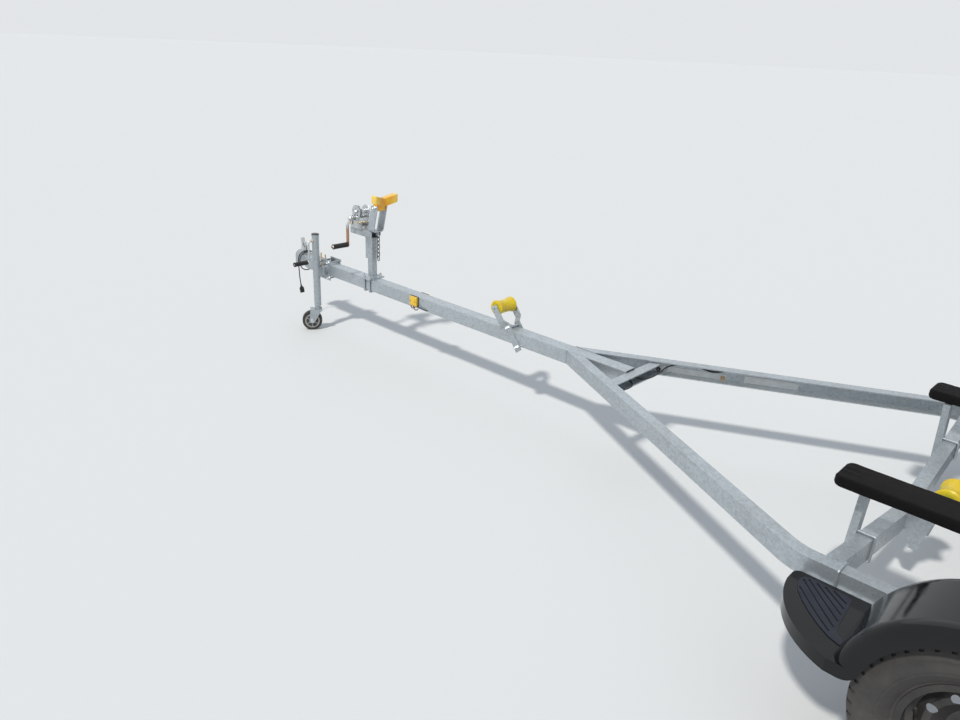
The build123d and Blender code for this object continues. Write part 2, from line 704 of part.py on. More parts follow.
# Coupler latch: lever standing open on the neck
with BuildPart() as coupler_latch:
    with BuildSketch(Plane.XZ.offset(-12)):
        with BuildLine():
            Polyline((latch_x - 14, latch_z - 8), (latch_x + 14, latch_z - 8), (latch_x + 12, latch_z + 30),
                     (latch_x + 24, latch_z + 92), (latch_x + 12, latch_z + 95), (latch_x - 4, latch_z + 34),
                     (latch_x - 14, latch_z - 8))
        make_face()
    extrude(amount=24)
coupler_latch.part.label = "coupler_latch"
export_step(coupler_latch.part, "parts/coupler_latch.step")

# Jack mount: plates clamped on the tongue and the swivel boss
mount_plate = 6.0
boss_out = tongue_size / 2 + mount_plate + 20
with BuildPart() as jack_mount:
    with Locations((jack_x, tongue_size / 2 + mount_plate / 2, tongue_mid)):
        Box(106, mount_plate, 132)
    for dx in (-40, 40):
        for dz in (-52, 52):
            with Locations((jack_x + dx, tongue_size / 2 + mount_plate, tongue_mid + dz)):
                Cylinder(8, 12, rotation=(90, 0, 0))
    with Locations((jack_x, tongue_size / 2 + mount_plate + 10, jack_pivot_z)):
        Cylinder(34, 20, rotation=(90, 0, 0))
    with Locations((jack_x, 60, jack_pivot_z)):
        Cylinder(pivot_r + pivot_gap, 43, rotation=(90, 0, 0), mode=Mode.SUBTRACT)
jack_mount.part.label = "jack_mount"
export_step(jack_mount.part, "parts/jack_mount.step")

# Jack tube: outer tube, cap, swivel flange and pin
with BuildPart() as jack_tube:
    with Locations((jack_x, jack_y, jack_bottom)):
        Cylinder(jack_tube_r, jack_top - jack_bottom, align=(Align.CENTER, Align.CENTER, Align.MIN))
    with Locations((jack_x, jack_y, jack_top - 14)):
        Cylinder(jack_tube_r + 1.5, 14, align=(Align.CENTER, Align.CENTER, Align.MIN))
    with Locations((jack_x, boss_out + 5 + 4, jack_pivot_z)):
        Cylinder(38, 8, rotation=(90, 0, 0))
    with Locations((jack_x, (boss_out + 9 + jack_y) / 2, jack_pivot_z)):
        Box(52, jack_y - boss_out - 9, 60)
    with Locations((jack_x, jack_y, jack_bottom - 1)):
        Cylinder(leg_r + 1.0, leg_top - jack_bottom + 30, align=(Align.CENTER, Align.CENTER, Align.MIN),
                 mode=Mode.SUBTRACT)
    with Locations((jack_x, (boss_out + 6 + tongue_size / 2 + 8) / 2, jack_pivot_z)):
        Cylinder(pivot_r, boss_out + 6 - tongue_size / 2 - 8, rotation=(90, 0, 0))
jack_tube.part.label = "jack_tube"
export_step(jack_tube.part, "parts/jack_tube.step")

# Jack crank: side shaft, arm and grip
jc_z = jack_top - 40
jc_y = jack_y + jack_tube_r
jc_drop = 136.0
jc_out = 30.0
with BuildPart() as jack_crank:
    bent_rod(Plane(origin=(jack_x, 0, 0), x_dir=(0, 1, 0), z_dir=(1, 0, 0)),
             [(jc_y, jc_z), (jc_y + jc_out, jc_z), (jc_y + jc_out, jc_z - jc_drop),
              (jc_y + jc_out + 112, jc_z - jc_drop)], 12, 5.5)
    with Locations((jack_x, jc_y + jc_out + 66, jc_z - jc_drop)):
        Cylinder(13, 94, rotation=(90, 0, 0))
jack_crank.part.label = "jack_crank"
export_step(jack_crank.part, "parts/jack_crank.step")

# Jack leg: inner tube that slides down out of the jack
with BuildPart() as jack_leg:
    with Locations((jack_x, jack_y, leg_bottom + 6)):
        Cylinder(leg_r, leg_top - leg_bottom - 6, align=(Align.CENTER, Align.CENTER, Align.MIN))
        Cylinder(leg_r - leg_wall, leg_top - leg_bottom, align=(Align.CENTER, Align.CENTER, Align.MIN),
                 mode=Mode.SUBTRACT)
    with Locations((jack_x, jack_y, leg_bottom)):
        Cylinder(leg_r + 4, 6.5, align=(Align.CENTER, Align.CENTER, Align.MIN))
jack_leg.part.label = "jack_leg"
export_step(jack_leg.part, "parts/jack_leg.step")

# Caster: fork turned beside the leg, wheel trailing behind it
caster_dir = (cos(radians(caster_turn)), sin(radians(caster_turn)))
cx = jack_x + caster_trail * caster_dir[0]
cy = jack_y + caster_trail * caster_dir[1]
fork_top = leg_bottom - 1.0
fork_half = caster_width / 2 + fork_gap + fork_wall
caster_plane = Plane(origin=(cx, cy, caster_r), x_dir=(caster_dir[0], caster_dir[1], 0),
                     z_dir=(-caster_dir[1], caster_dir[0], 0))
with BuildPart() as caster_fork:
    with Locations(Location((jack_x, jack_y, 0), (0, 0, caster_turn))):
        with Locations((12, 0, fork_top - 5)):
            Box(78, 2 * fork_half, 10)
    for cheek in (-1, 1):
        base = Plane(origin=(jack_x, jack_y, 0), x_dir=(caster_dir[0], caster_dir[1], 0),
                     z_dir=(caster_dir[1], -caster_dir[0], 0))
        with BuildSketch(base.offset(cheek * (fork_half - fork_wall / 2))):
            Polygon((-26, fork_top - 1), (50, fork_top - 1), (caster_trail + 20, caster_r),
                    (caster_trail + 12, caster_r - 14), (caster_trail - 12, caster_r - 14),
                    (caster_trail - 20, caster_r), align=None)
        extrude(amount=fork_wall / 2, both=True)
    with Locations(caster_plane):
        Cylinder(6, 2 * fork_half + 14)
caster_fork.part.label = "caster_fork"
export_step(caster_fork.part, "parts/caster_fork.step")

with BuildPart() as caster_wheel:
    with Locations(caster_plane):
        Cylinder(caster_r, caster_width - 8)
        Cylinder(52, caster_width)
        Cylinder(6.6, caster_width + 2, mode=Mode.SUBTRACT)
caster_wheel.part.label = "caster_wheel"
export_step(caster_wheel.part, "parts/caster_wheel.step")

# Winch stand: base plate, lower tube and the wider upper tube that stands over it
with BuildPart() as winch_post:
    with Locations((winch_x - 5, 0, frame_top + stand_plate / 2)):
        Box(88, 120, stand_plate)
        with GridLocations(50, 88, 2, 2):
            Cylinder(5.8, stand_plate, mode=Mode.SUBTRACT)
    post_rear_x = winch_x - post_x_size / 2
    for low, high, x_size, y_size, back in [
            # bottom, top, size along, size across, set forward of the rear face
            (frame_top + stand_plate, sleeve_z + post_tube_wall, lower_x_size, lower_y_size, 2.5),
            (sleeve_z, post_top, post_x_size, post_y_size, 0)]:
        with BuildSketch(Plane.XY.offset(low)):
            with Locations((post_rear_x + back + x_size / 2, 0)):
                RectangleRounded(x_size, y_size, 6)
                RectangleRounded(x_size - 2 * post_tube_wall, y_size - 2 * post_tube_wall, 2,
                                 mode=Mode.SUBTRACT)
        extrude(amount=high - low)
    with BuildSketch(Plane.XY.offset(sleeve_z)):
        with Locations((winch_x, 0)):
            RectangleRounded(post_x_size, post_y_size, 6)
    extrude(amount=post_tube_wall)
winch_post.part.label = "winch_post"
export_step(winch_post.part, "parts/winch_post.step")

# Stand clamps: U-bolts that pass under the tongue and up through the base plate
with BuildPart() as stand_clamps:
    for dx in (-25, 25):
        plane = Plane(origin=(winch_x - 5 + dx, 0, 0), x_dir=(0, 1, 0), z_dir=(1, 0, 0))
        low = frame_top - tongue_size - 5.5
        high = frame_top + stand_plate + 22
        bent_rod(plane, [(-44, high), (-44, low), (44, low), (44, high)], 9, 5)
stand_clamps.part.label = "stand_clamps"
export_step(stand_clamps.part, "parts/stand_clamps.step")

# Winch arm: open tube on top of the post
arm_rear_x = winch_x - post_x_size / 2
with BuildPart() as winch_arm:
    with BuildSketch(Plane.YZ.offset(arm_rear_x)):
        with Locations((0, post_top + arm_height / 2)):
            RectangleRounded(post_y_size, arm_height, 7)
            RectangleRounded(post_y_size - 2 * post_tube_wall, arm_height - 2 * post_tube_wall, 3,
                             mode=Mode.SUBTRACT)
    extrude(amount=arm_front_x - arm_rear_x)
winch_arm.part.label = "winch_arm"
export_step(winch_arm.part, "parts/winch_arm.step")
arm_top = post_top + arm_height

# Bow stop arms: one plate bent to a U, leaning back, with a chain pin in ears under its overhang
chain_pin_x = stop_foot_x - 14
chain_pin_z = arm_top - 16
chain_pin_r = 4.0
ear_y = 8.5
ear_wall = 5.0
bolt_r = 6.0
hub_bolt_z = stop_z - 14
arm_rise = stop_z - 1 - arm_top
with BuildPart() as bow_stop_arms:
    with BuildSketch(Plane.YZ.offset(stop_x - stop_arm_width)):
        with Locations((0, arm_top + arm_rise)):
            RectangleRounded(2 * stop_arm_y + stop_arm_wall, 2 * arm_rise, stop_arm_bend)
            RectangleRounded(2 * stop_arm_y - stop_arm_wall, 2 * arm_rise - 2 * stop_arm_wall,
                             stop_arm_bend - stop_arm_wall, mode=Mode.SUBTRACT)
    extrude(amount=3 * stop_arm_width)
    with BuildSketch(Plane.XZ):
        wide = stop_arm_width / 2
        Polygon((stop_foot_x - wide, arm_top), (stop_x - wide, stop_z - 1), (stop_x + wide, stop_z - 1),
                (stop_foot_x + wide, arm_top), align=None)
    extrude(amount=2 * stop_arm_y, both=True, mode=Mode.INTERSECT)
    with Locations((stop_x, 0, hub_bolt_z)):
        Cylinder(bolt_r, 2 * stop_arm_y + 22, rotation=(90, 0, 0))
    for cheek in (-1, 1):
        with BuildSketch(Plane.XZ.offset(-chain_y - cheek * ear_y)):
            Polygon((chain_pin_x - 11, arm_top), (chain_pin_x + 13, arm_top),
                    (chain_pin_x + 8, chain_pin_z - 8), (chain_pin_x - 8, chain_pin_z - 8), align=None)
        extrude(amount=ear_wall / 2, both=True)
    with Locations((chain_pin_x, chain_y, chain_pin_z)):
        Cylinder(chain_pin_r, 2 * ear_y + ear_wall + 10, rotation=(90, 0, 0))
bow_stop_arms.part.label = "bow_stop_arms"
export_step(bow_stop_arms.part, "parts/bow_stop_arms.step")

# Bow stop: moulded block with two raised, swept wings and a hub between the arms
hub_drop = 30.0
hub_rise = 16.0
block_x = stop_x - 8        # front of the block in the middle
with BuildPart() as bow_stop:
    with BuildSketch(Plane.YZ.offset(block_x - 2 * stop_deep)) as front_view:
        tip_z = stop_z + stop_rise
        Polygon((-stop_half, tip_z), (0, stop_z), (stop_half, tip_z), (stop_half, tip_z + stop_height),
                (0, stop_z + stop_height), (-stop_half, tip_z + stop_height), align=None)
        fillet(front_view.vertices().group_by(Axis.X)[1], 40)
        tips = front_view.vertices().group_by(Axis.X)
        fillet(tips[0] + tips[-1], 9)
    extrude(amount=3 * stop_deep)
    with BuildSketch(Plane.XY.offset(stop_z - stop_height)) as plan_view:
        tip_x = block_x - stop_sweep
        Polygon((tip_x, -stop_half), (block_x, 0), (tip_x, stop_half), (tip_x - stop_deep, stop_half),
                (block_x - stop_deep, 0), (tip_x - stop_deep, -stop_half), align=None)
        fillet(plan_view.vertices().group_by(Axis.Y)[1], 40)
        tips = plan_view.vertices().group_by(Axis.Y)
        fillet(tips[0] + tips[-1], 12)
    extrude(amount=stop_rise + 3 * stop_height, mode=Mode.INTERSECT)
    with Locations((stop_x, 0, stop_z - hub_drop)):
        Box(36, 2 * stop_arm_y - stop_arm_wall - 2, hub_drop + hub_rise,
            align=(Align.CENTER, Align.CENTER, Align.MIN))
    with Locations((stop_x, 0, hub_bolt_z)):
        Cylinder(bolt_r + 0.3, 2 * stop_arm_y, rotation=(90, 0, 0), mode=Mode.SUBTRACT)
bow_stop.part.label = "bow_stop"
export_step(bow_stop.part, "parts/bow_stop.step")

# Bow chain: welded links hanging from the pin behind the post
link_pitch = 24.0
link_wire = 2.9
link_half = 8.0
link_play = 0.4
link_straight = link_pitch + link_play - 2 * (link_half - link_wire)
inner_half = link_straight / 2 + link_half - link_wire
chain_top = chain_pin_z + chain_pin_r + 0.3 - inner_half
with BuildPart() as bow_chain:
    for k in range(chain_links):
        turn = 90 * (k % 2)
        flat = (cos(radians(turn)), sin(radians(turn)), 0)
        facing = (sin(radians(turn)), -cos(radians(turn)), 0)
        link_z = chain_top - k * link_pitch
        with BuildLine(Plane(origin=(chain_pin_x, chain_y, link_z), x_dir=flat, z_dir=facing)) as loop:
            high = link_straight / 2
            Line((link_half, 0), (link_half, high))
            ThreePointArc((link_half, high), (0, high + link_half), (-link_half, high))
            Line((-link_half, high), (-link_half, -high))
            ThreePointArc((-link_half, -high), (0, -high - link_half), (link_half, -high))
            Line((link_half, -high), (link_half, 0))
        with BuildSketch(Plane(origin=loop.line @ 0, z_dir=loop.line % 0)):
            Circle(link_wire)
        sweep(path=loop.line)
bow_chain.part.label = "bow_chain"
export_step(bow_chain.part, "parts/bow_chain.step")

# Winch frame: base and two side plates
pinion_x = drum_x + (gear_module * (gear_teeth + pinion_teeth) / 2 + mesh_gap) * cos(radians(mesh_angle))
pinion_z = drum_z + (gear_module * (gear_teeth + pinion_teeth) / 2 + mesh_gap) * sin(radians(mesh_angle))
with BuildPart() as winch_frame:
    with Locations((drum_x + 18, 0, arm_top + winch_plate / 2)):
        Box(110, 2 * winch_plate_y, winch_plate)
    for side in (-1, 1):
        with BuildSketch(Plane.XZ.offset(-side * (winch_plate_y + winch_plate / 2))):
            Polygon((drum_x - 37, arm_top), (drum_x + 73, arm_top), (pinion_x + 18, pinion_z + 14),
                    (pinion_x - 10, pinion_z + 16), (drum_x + 14, drum_z + 14), (drum_x - 14, drum_z + 14),
                    align=None)
        extrude(amount=winch_plate / 2, both=True)
        with Locations((drum_x, side * winch_plate_y, drum_z)):
            Cylinder(pin_r + 0.6, 30, rotation=(90, 0, 0), mode=Mode.SUBTRACT)
        with Locations((pinion_x, side * winch_plate_y, pinion_z)):
            Cylinder(pin_r + 0.6, 30, rotation=(90, 0, 0), mode=Mode.SUBTRACT)
winch_frame.part.label = "winch_frame"
export_step(winch_frame.part, "parts/winch_frame.step")

# Winch drum: reel with its shaft and the large gear
gear_y = winch_plate_y + winch_plate + 8
with BuildPart() as winch_drum:
    with Locations((drum_x, 0, drum_z)):
        Cylinder(drum_core_r, 2 * winch_plate_y - 12, rotation=(90, 0, 0))
        Cylinder(pin_r, 2 * gear_y + gear_thick + 4, rotation=(90, 0, 0))
    for side in (-1, 1):
        with Locations((drum_x, side * (winch_plate_y - 7), drum_z)):
            Cylinder(drum_flange_r, 2, rotation=(90, 0, 0))
    gear_plane = Plane(origin=(drum_x, gear_y - gear_thick / 2, drum_z), x_dir=(1, 0, 0), z_dir=(0, 1, 0))
    with BuildSketch(gear_plane):
        with Locations(Location((0, 0, 0), (0, 0, -mesh_angle + 180.0 / gear_teeth))):
            Polygon(*gear_points(gear_teeth, gear_module, 0.74, 1.25), align=None)
            with PolarLocations(23, 5):
                Circle(7, mode=Mode.SUBTRACT)
    extrude(amount=gear_thick)
winch_drum.part.label = "winch_drum"
export_step(winch_drum.part, "parts/winch_drum.step")

# Winch crank: pinion, shaft, cranked arm and grip
crank_y = gear_y + crank_out
with BuildPart() as winch_crank:
    with BuildSketch(Plane(origin=(pinion_x, gear_y - pinion_thick / 2, pinion_z), x_dir=(1, 0, 0),
                           z_dir=(0, 1, 0))):
        with Locations(Location((0, 0, 0), (0, 0, -mesh_angle + 180.0))):
            Polygon(*gear_points(pinion_teeth, gear_module, 0.74, 1.0), align=None)
    extrude(amount=pinion_thick)
    with Locations((pinion_x, 0, pinion_z)):
        Cylinder(pin_r, 2 * gear_y + 16, rotation=(90, 0, 0))
    with Locations((pinion_x, (gear_y + pinion_thick / 2 + crank_y) / 2, pinion_z)):
        Cylinder(10, crank_y - gear_y - pinion_thick / 2, rotation=(90, 0, 0))
    arm_y = crank_y + crank_kick
    with BuildSketch(Plane.YZ.offset(pinion_x - 11)):
        Polygon((crank_y - 3, pinion_z + 12), (crank_y + 3, pinion_z + 12), (crank_y + 3, pinion_z - 12),
                (arm_y + 3, pinion_z - 42), (arm_y + 3, pinion_z - crank_reach - 11),
                (arm_y - 3, pinion_z - crank_reach - 11), (arm_y - 3, pinion_z - 40),
                (crank_y - 3, pinion_z - 10), align=None)
    extrude(amount=22)
    with Locations((pinion_x, arm_y + 3 + grip_len / 2, pinion_z - crank_reach)):
        Cylinder(6, grip_len + 12, rotation=(90, 0, 0))
        Cylinder(14, grip_len - 8, rotation=(90, 0, 0))
winch_crank.part.label = "winch_crank"
export_step(winch_crank.part, "parts/winch_crank.step")

# Keel roller brackets and rollers: one on the tongue, one behind each crossmember
roller_rows = [
    # bracket, roller, pin x, pin z, radius, whether it stands on the tongue
    ("tongue_roller_bracket", "tongue_roller", tongue_roller_x, tongue_roller_z, tongue_roller_r, True),
    ("keel_bracket_front", "keel_roller_front", cross_front_x - keel_roller_x, keel_roller_z,
     keel_roller_r, False),
    ("keel_bracket_rear", "keel_roller_rear", cross_rear_x - keel_roller_x, keel_roller_z,
     keel_roller_r, False),
]
bar_run = 150.0             # the tongue bracket's flat bars reach this far behind their roller
bar_width = 40.0
bar_bolt_r = 6.0
cheek_y = roller_half + side_gap + bracket_wall / 2
for bracket_name, roller_name, rx, rz, rr, on_tongue in roller_rows:
    face = rx + keel_roller_x - cross_width / 2
    under = cross_mid_top - cross_depth
    with BuildPart() as bracket:
        if on_tongue:
            bar_drop = rz - (frame_top - tongue_size - 2 * bar_bolt_r)
            bar_angle = atan2(bar_drop, bar_run)
            bar_length = hypot(bar_run, bar_drop)
            along = (cos(bar_angle), 0, sin(bar_angle))
            bar_plane = Plane(origin=(rx - bar_run, 0, rz - bar_drop), x_dir=along,
                              z_dir=(sin(bar_angle), 0, -cos(bar_angle)))
            hug = tongue_size / 2
            wide_y = cheek_y - bracket_wall / 2
            kick = 0.58 * bar_length
            for side in (-1, 1):
                with BuildSketch(bar_plane):
                    near = side * (hug + bracket_wall)
                    far = side * (wide_y + bracket_wall)
                    Polygon((-16, side * hug), (kick, side * hug), (kick + 26, side * wide_y),
                            (bar_length + 14, side * wide_y), (bar_length + 14, far),
                            (kick + 23, far), (kick - 3, near), (-16, near), align=None)
                extrude(amount=bar_width / 2, both=True)
            for bolt_z in (frame_top + bar_bolt_r + 0.6, frame_top - tongue_size - bar_bolt_r - 0.6):
                bolt_x = rx - (rz - bolt_z) / tan(bar_angle)
                with Locations((bolt_x, 0, bolt_z)):
                    Cylinder(bar_bolt_r, 2 * (hug + bracket_wall) + 18, rotation=(90, 0, 0))
        else:
            for side in (-1, 1):
                with BuildSketch(Plane.XZ.offset(-side * cheek_y)):
                    Polygon((face, cross_mid_top + 6), (rx + 18, rz + 18), (rx - 18, rz + 18),
                            (rx - 20, rz - 14), (face - 80, under + 62), (face - 61, under - 48),
                            (face - 31, under - 48),
                            (face - 10, under + 20), (face, under + 30), align=None)
                extrude(amount=bracket_wall / 2, both=True)
            with Locations((face - 4, 0, cross_mid_top - cross_depth / 2 + 8)):
                Box(8, 2 * cheek_y, 60)
        with Locations((rx, 0, rz)):
            Cylinder(pin_r, 2 * cheek_y + 30, rotation=(90, 0, 0))
    bracket.part.label = bracket_name
    export_step(bracket.part, "parts/" + bracket_name + ".step")

    with BuildPart() as roller:
        with BuildSketch(Plane.YZ.offset(rx)):
            with BuildLine():
                Polyline((-roller_half + 6, rz + rr), (-roller_half, rz + rr - 6),
                         (-roller_half, rz + roller_bore), (roller_half, rz + roller_bore),
                         (roller_half, rz + rr - 6), (roller_half - 6, rz + rr))
                ThreePointArc((roller_half - 6, rz + rr), (0, rz + rr * 0.64), (-roller_half + 6, rz + rr))
            make_face()
        revolve(axis=Axis((rx, 0, rz), (0, 1, 0)))
    roller.part.label = roller_name
    export_step(roller.part, "parts/" + roller_name + ".step")

# Side marker lamps on the tongue
with BuildPart() as side_markers:
    for side in (-1, 1):
        with BuildSketch(Plane.XZ.offset(-side * tongue_size / 2)):
            with Locations((marker_x, tongue_mid + 6)):
                RectangleRounded(marker_length, marker_height, 6)
        extrude(amount=-side * marker_depth)
    outer = side_markers.faces().filter_by(Axis.Y).group_by(Axis.Y)
    fillet(outer[0].edges() + outer[-1].edges(), 5)
side_markers.part.label = "side_markers"
export_step(side_markers.part, "parts/side_markers.step")

# Tail lamps on plates at the rails' rear ends
lamp_z = frame_top - lamp_height / 2
with BuildPart() as tail_lamps:
    for side in (-1, 1):
        with BuildSketch(Plane.YZ.offset(rail_rear_x - lamp_plate)):
            with Locations((side * (rail_outer_y + lamp_out), lamp_z)):
                RectangleRounded(lamp_width, lamp_height, 9)
        extrude(amount=-lamp_depth)
    fillet(tail_lamps.faces().sort_by(Axis.X)[:2].edges(), 6)
tail_lamps.part.label = "tail_lamps"
export_step(tail_lamps.part, "parts/tail_lamps.step")

with BuildPart() as lamp_brackets:
    for side in (-1, 1):
        with Locations((rail_rear_x - lamp_plate / 2, side * (rail_outer_y + lamp_out / 4), lamp_z)):
            Box(lamp_plate, 2 * (lamp_width / 2 - lamp_out / 4), lamp_height - 14)
lamp_brackets.part.label = "lamp_brackets"
export_step(lamp_brackets.part, "parts/lamp_brackets.step")

# Lead gland: rubber elbow under the tongue
gland_x = 2590.0            # mouth of the elbow
gland_y = -6.0
gland_z = 350.0
tongue_bottom = frame_top - tongue_size
with BuildPart() as lead_gland:
    with Locations((gland_x - 20, gland_y, (tongue_bottom + gland_z) / 2)):
        Cylinder(11, tongue_bottom - gland_z)
    with Locations((gland_x - 20, gland_y, gland_z)):
        Sphere(11)
    with Locations((gland_x - 10, gland_y, gland_z)):
        Cone(11, 6, 20, rotation=(0, 90, 0))
    with Locations((gland_x - 20, gland_y, tongue_bottom + 10)):
        Box(30, 30, 20, mode=Mode.SUBTRACT)
lead_gland.part.label = "lead_gland"
export_step(lead_gland.part, "parts/lead_gland.step")

# Wiring lead: free cord wound loosely round the coupler's neck, hanging on the port side
lead_r = 3.5
lead_route = [(gland_x, gland_y, gland_z), (2630, gland_y, gland_z), (2690, -12, 345), (2740, -23, 337),
              (2776, -46, 346), (2789, -64, 386), (2791, -62, 436), (2794, -30, 466), (2797, 30, 465),
              (2800, 62, 436), (2803, 65, 388), (2806, 45, 346), (2809, 0, 330), (2811, -44, 345),
              (2812, -64, 385), (2812, -62, 436), (2812, -30, 467), (2814, 30, 467), (2819, 60, 440),
              (2825, 61, 390), (2826, 57, 332), (2821, 58, 275), (2810, 57, 228)]
lead_points = [Vector(*p) for p in lead_route]
lead_radii = []
for before, here, after in zip(lead_points, lead_points[1:], lead_points[2:]):
    bend = (here - before).get_angle(after - here)
    shorter = min((here - before).length, (after - here).length)
    lead_radii.append(0.45 * shorter / tan(radians(bend / 2)))
print("lead bend radii", [round(v, 1) for v in lead_radii])
with BuildPart() as wiring_lead:
    with BuildLine() as lead_line:
        FilletPolyline(*lead_route, radius=lead_radii)
    with BuildSketch(Plane(origin=lead_line.line @ 0, z_dir=lead_line.line % 0)):
        Circle(lead_r)
    sweep(path=lead_line.line)
lead_length = sum(edge.length for edge in lead_line.edges())
print("lead length", round(lead_length, 1), "volume share",
      round(wiring_lead.part.volume / (pi * lead_r ** 2 * lead_length), 4))
wiring_lead.part.label = "wiring_lead"
export_step(wiring_lead.part, "parts/wiring_lead.step")

# Wiring plug: flat four way connector on the lead's end
plug_width = 30.0
plug_thick = 13.0
plug_neck = 14.0
plug_body = 34.0
plug_axis = lead_points[-1] - lead_points[-2]
plug_plane = Plane(origin=lead_points[-1], x_dir=(0, 1, 0), z_dir=plug_axis)
with BuildPart() as wiring_plug:
    with BuildSketch(plug_plane):
        Circle(lead_r + 1)
    with BuildSketch(plug_plane.offset(plug_neck)):
        RectangleRounded(plug_width, plug_thick, 4)
    loft()
    with BuildSketch(plug_plane.offset(plug_neck)):
        RectangleRounded(plug_width, plug_thick, 4)
    extrude(amount=plug_body)
    with Locations(plug_plane.offset(plug_neck + plug_body)):
        with GridLocations(7, 0, 3, 1):
            Cylinder(2.2, 20, mode=Mode.SUBTRACT)
wiring_plug.part.label = "wiring_plug"
export_step(wiring_plug.part, "parts/wiring_plug.step")
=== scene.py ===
"""Dress the boat trailer: materials, small pieces, the wiring lead, the stage and the camera."""
import math

import bpy
from bpy.props import FloatProperty, FloatVectorProperty, PointerProperty
from mathutils import Matrix, Vector, noise


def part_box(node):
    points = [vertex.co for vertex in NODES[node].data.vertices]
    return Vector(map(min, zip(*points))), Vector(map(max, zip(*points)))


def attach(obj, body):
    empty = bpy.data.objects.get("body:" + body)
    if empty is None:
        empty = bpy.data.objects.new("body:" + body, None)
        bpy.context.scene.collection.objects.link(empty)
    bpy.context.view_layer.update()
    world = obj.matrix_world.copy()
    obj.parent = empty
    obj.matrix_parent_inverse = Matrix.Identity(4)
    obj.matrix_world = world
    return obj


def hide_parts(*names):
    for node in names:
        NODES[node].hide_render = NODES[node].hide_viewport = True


bl_info = {
    "name": "Boat trailer finish",
    "version": (1, 0, 0),
    "blender": (4, 5, 0),
    "location": "View3D > Sidebar > Trailer",
    "description": "Finishes, fastenings and small fittings of a boat trailer",
    "category": "Object",
}

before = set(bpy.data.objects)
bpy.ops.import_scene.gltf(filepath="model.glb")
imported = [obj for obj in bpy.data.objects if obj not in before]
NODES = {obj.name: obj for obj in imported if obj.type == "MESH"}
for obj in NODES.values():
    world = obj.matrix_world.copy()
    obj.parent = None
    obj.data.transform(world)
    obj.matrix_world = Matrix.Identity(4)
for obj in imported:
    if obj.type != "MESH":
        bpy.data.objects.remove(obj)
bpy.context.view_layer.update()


# ---------------------------------------------------------------- sizes and colours a user may change

class TrailerColours(bpy.types.PropertyGroup):
    """Colours of the finishes."""
    zinc_skin: FloatVectorProperty(name="Galvanizing", description="Mean colour of the galvanized steel",
                                   subtype="COLOR", size=3, default=(0.44, 0.485, 0.515))
    hardware: FloatVectorProperty(name="Hardware", description="Bright plated bolts and winch",
                                  subtype="COLOR", size=3, default=(0.60, 0.63, 0.65))
    roller: FloatVectorProperty(name="Roller", description="Moulded keel rollers and bow stop",
                                subtype="COLOR", size=3, default=(0.80, 0.62, 0.014))
    fender: FloatVectorProperty(name="Fender", description="Moulded fenders and steps",
                                subtype="COLOR", size=3, default=(0.0045, 0.0050, 0.0065))
    carpet: FloatVectorProperty(name="Carpet", description="Bunk carpet",
                                subtype="COLOR", size=3, default=(0.0050, 0.0048, 0.0052))
    tyre: FloatVectorProperty(name="Tyre", description="Tyre rubber",
                              subtype="COLOR", size=3, default=(0.046, 0.044, 0.043))
    marker: FloatVectorProperty(name="Marker lens", description="Amber side marker lens",
                                subtype="COLOR", size=3, default=(0.95, 0.60, 0.008))


class TrailerSizes(bpy.types.PropertyGroup):
    """Sizes of the loose fittings."""
    lead_bore: FloatProperty(name="Lead diameter", description="Outside diameter of the wiring lead",
                             default=0.007, unit="LENGTH")
    lead_length: FloatProperty(name="Lead length", description="Real length of the wiring lead",
                               default=1.05, unit="LENGTH")
    spangle: FloatProperty(name="Spangle size", description="Mean size of the zinc crystals",
                           default=0.009, unit="LENGTH")


# ---------------------------------------------------------------- helpers for meshes

def calm():
    """Object mode with nothing selected."""
    if bpy.context.object and bpy.context.object.mode != "OBJECT":
        bpy.ops.object.mode_set(mode="OBJECT")
    bpy.ops.object.select_all(action="DESELECT")


def only(*objects):
    """Select these objects alone; the first is active."""
    calm()
    for obj in objects:
        obj.select_set(True)
    bpy.context.view_layer.objects.active = objects[0]


def settle(obj):
    """Put the object's place into its mesh."""
    only(obj)
    bpy.ops.object.transform_apply(location=True, rotation=True, scale=True)
    return obj


def finish_piece(obj, name, body, finish, smooth=35.0):
    """Name the piece, shade it, and give it its finish and its body."""
    settle(obj)
    obj.name = name
    obj.data.name = name
    obj.data.materials.clear()
    obj.data.materials.append(bpy.data.materials[finish])
    bpy.ops.object.shade_smooth_by_angle(angle=math.radians(smooth))
    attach(obj, body)
    return obj


def twin_of(obj):
    """A copy of a piece with its own mesh."""
    twin = obj.copy()
    twin.data = obj.data.copy()
    bpy.context.collection.objects.link(twin)
    return twin


# ---------------------------------------------------------------- helpers that make simple stock

def edit(action="SELECT"):
    """Edit mode on the active piece, with all or nothing selected."""
    bpy.ops.object.mode_set(mode="EDIT")
    bpy.ops.mesh.select_mode(type="FACE")
    bpy.ops.mesh.select_all(action=action)


def done():
    """Back to object mode; returns the active piece."""
    bpy.ops.object.mode_set(mode="OBJECT")
    return bpy.context.object


def pick(test):
    """Select the faces of the piece in edit mode that pass a test of centre and normal."""
    bpy.ops.mesh.select_all(action="DESELECT")
    bpy.ops.object.mode_set(mode="OBJECT")
    for face in bpy.context.object.data.polygons:
        face.select = bool(test(face.center, face.normal))
    bpy.ops.object.mode_set(mode="EDIT")


def block(size, place, edge=0.002, steps=2):
    """Block with rounded edges."""
    calm()
    bpy.ops.mesh.primitive_cube_add(size=1.0, location=place, scale=size)
    settle(bpy.context.object)
    edit()
    bpy.ops.mesh.bevel(offset=edge, segments=steps, affect="EDGES")
    return done()


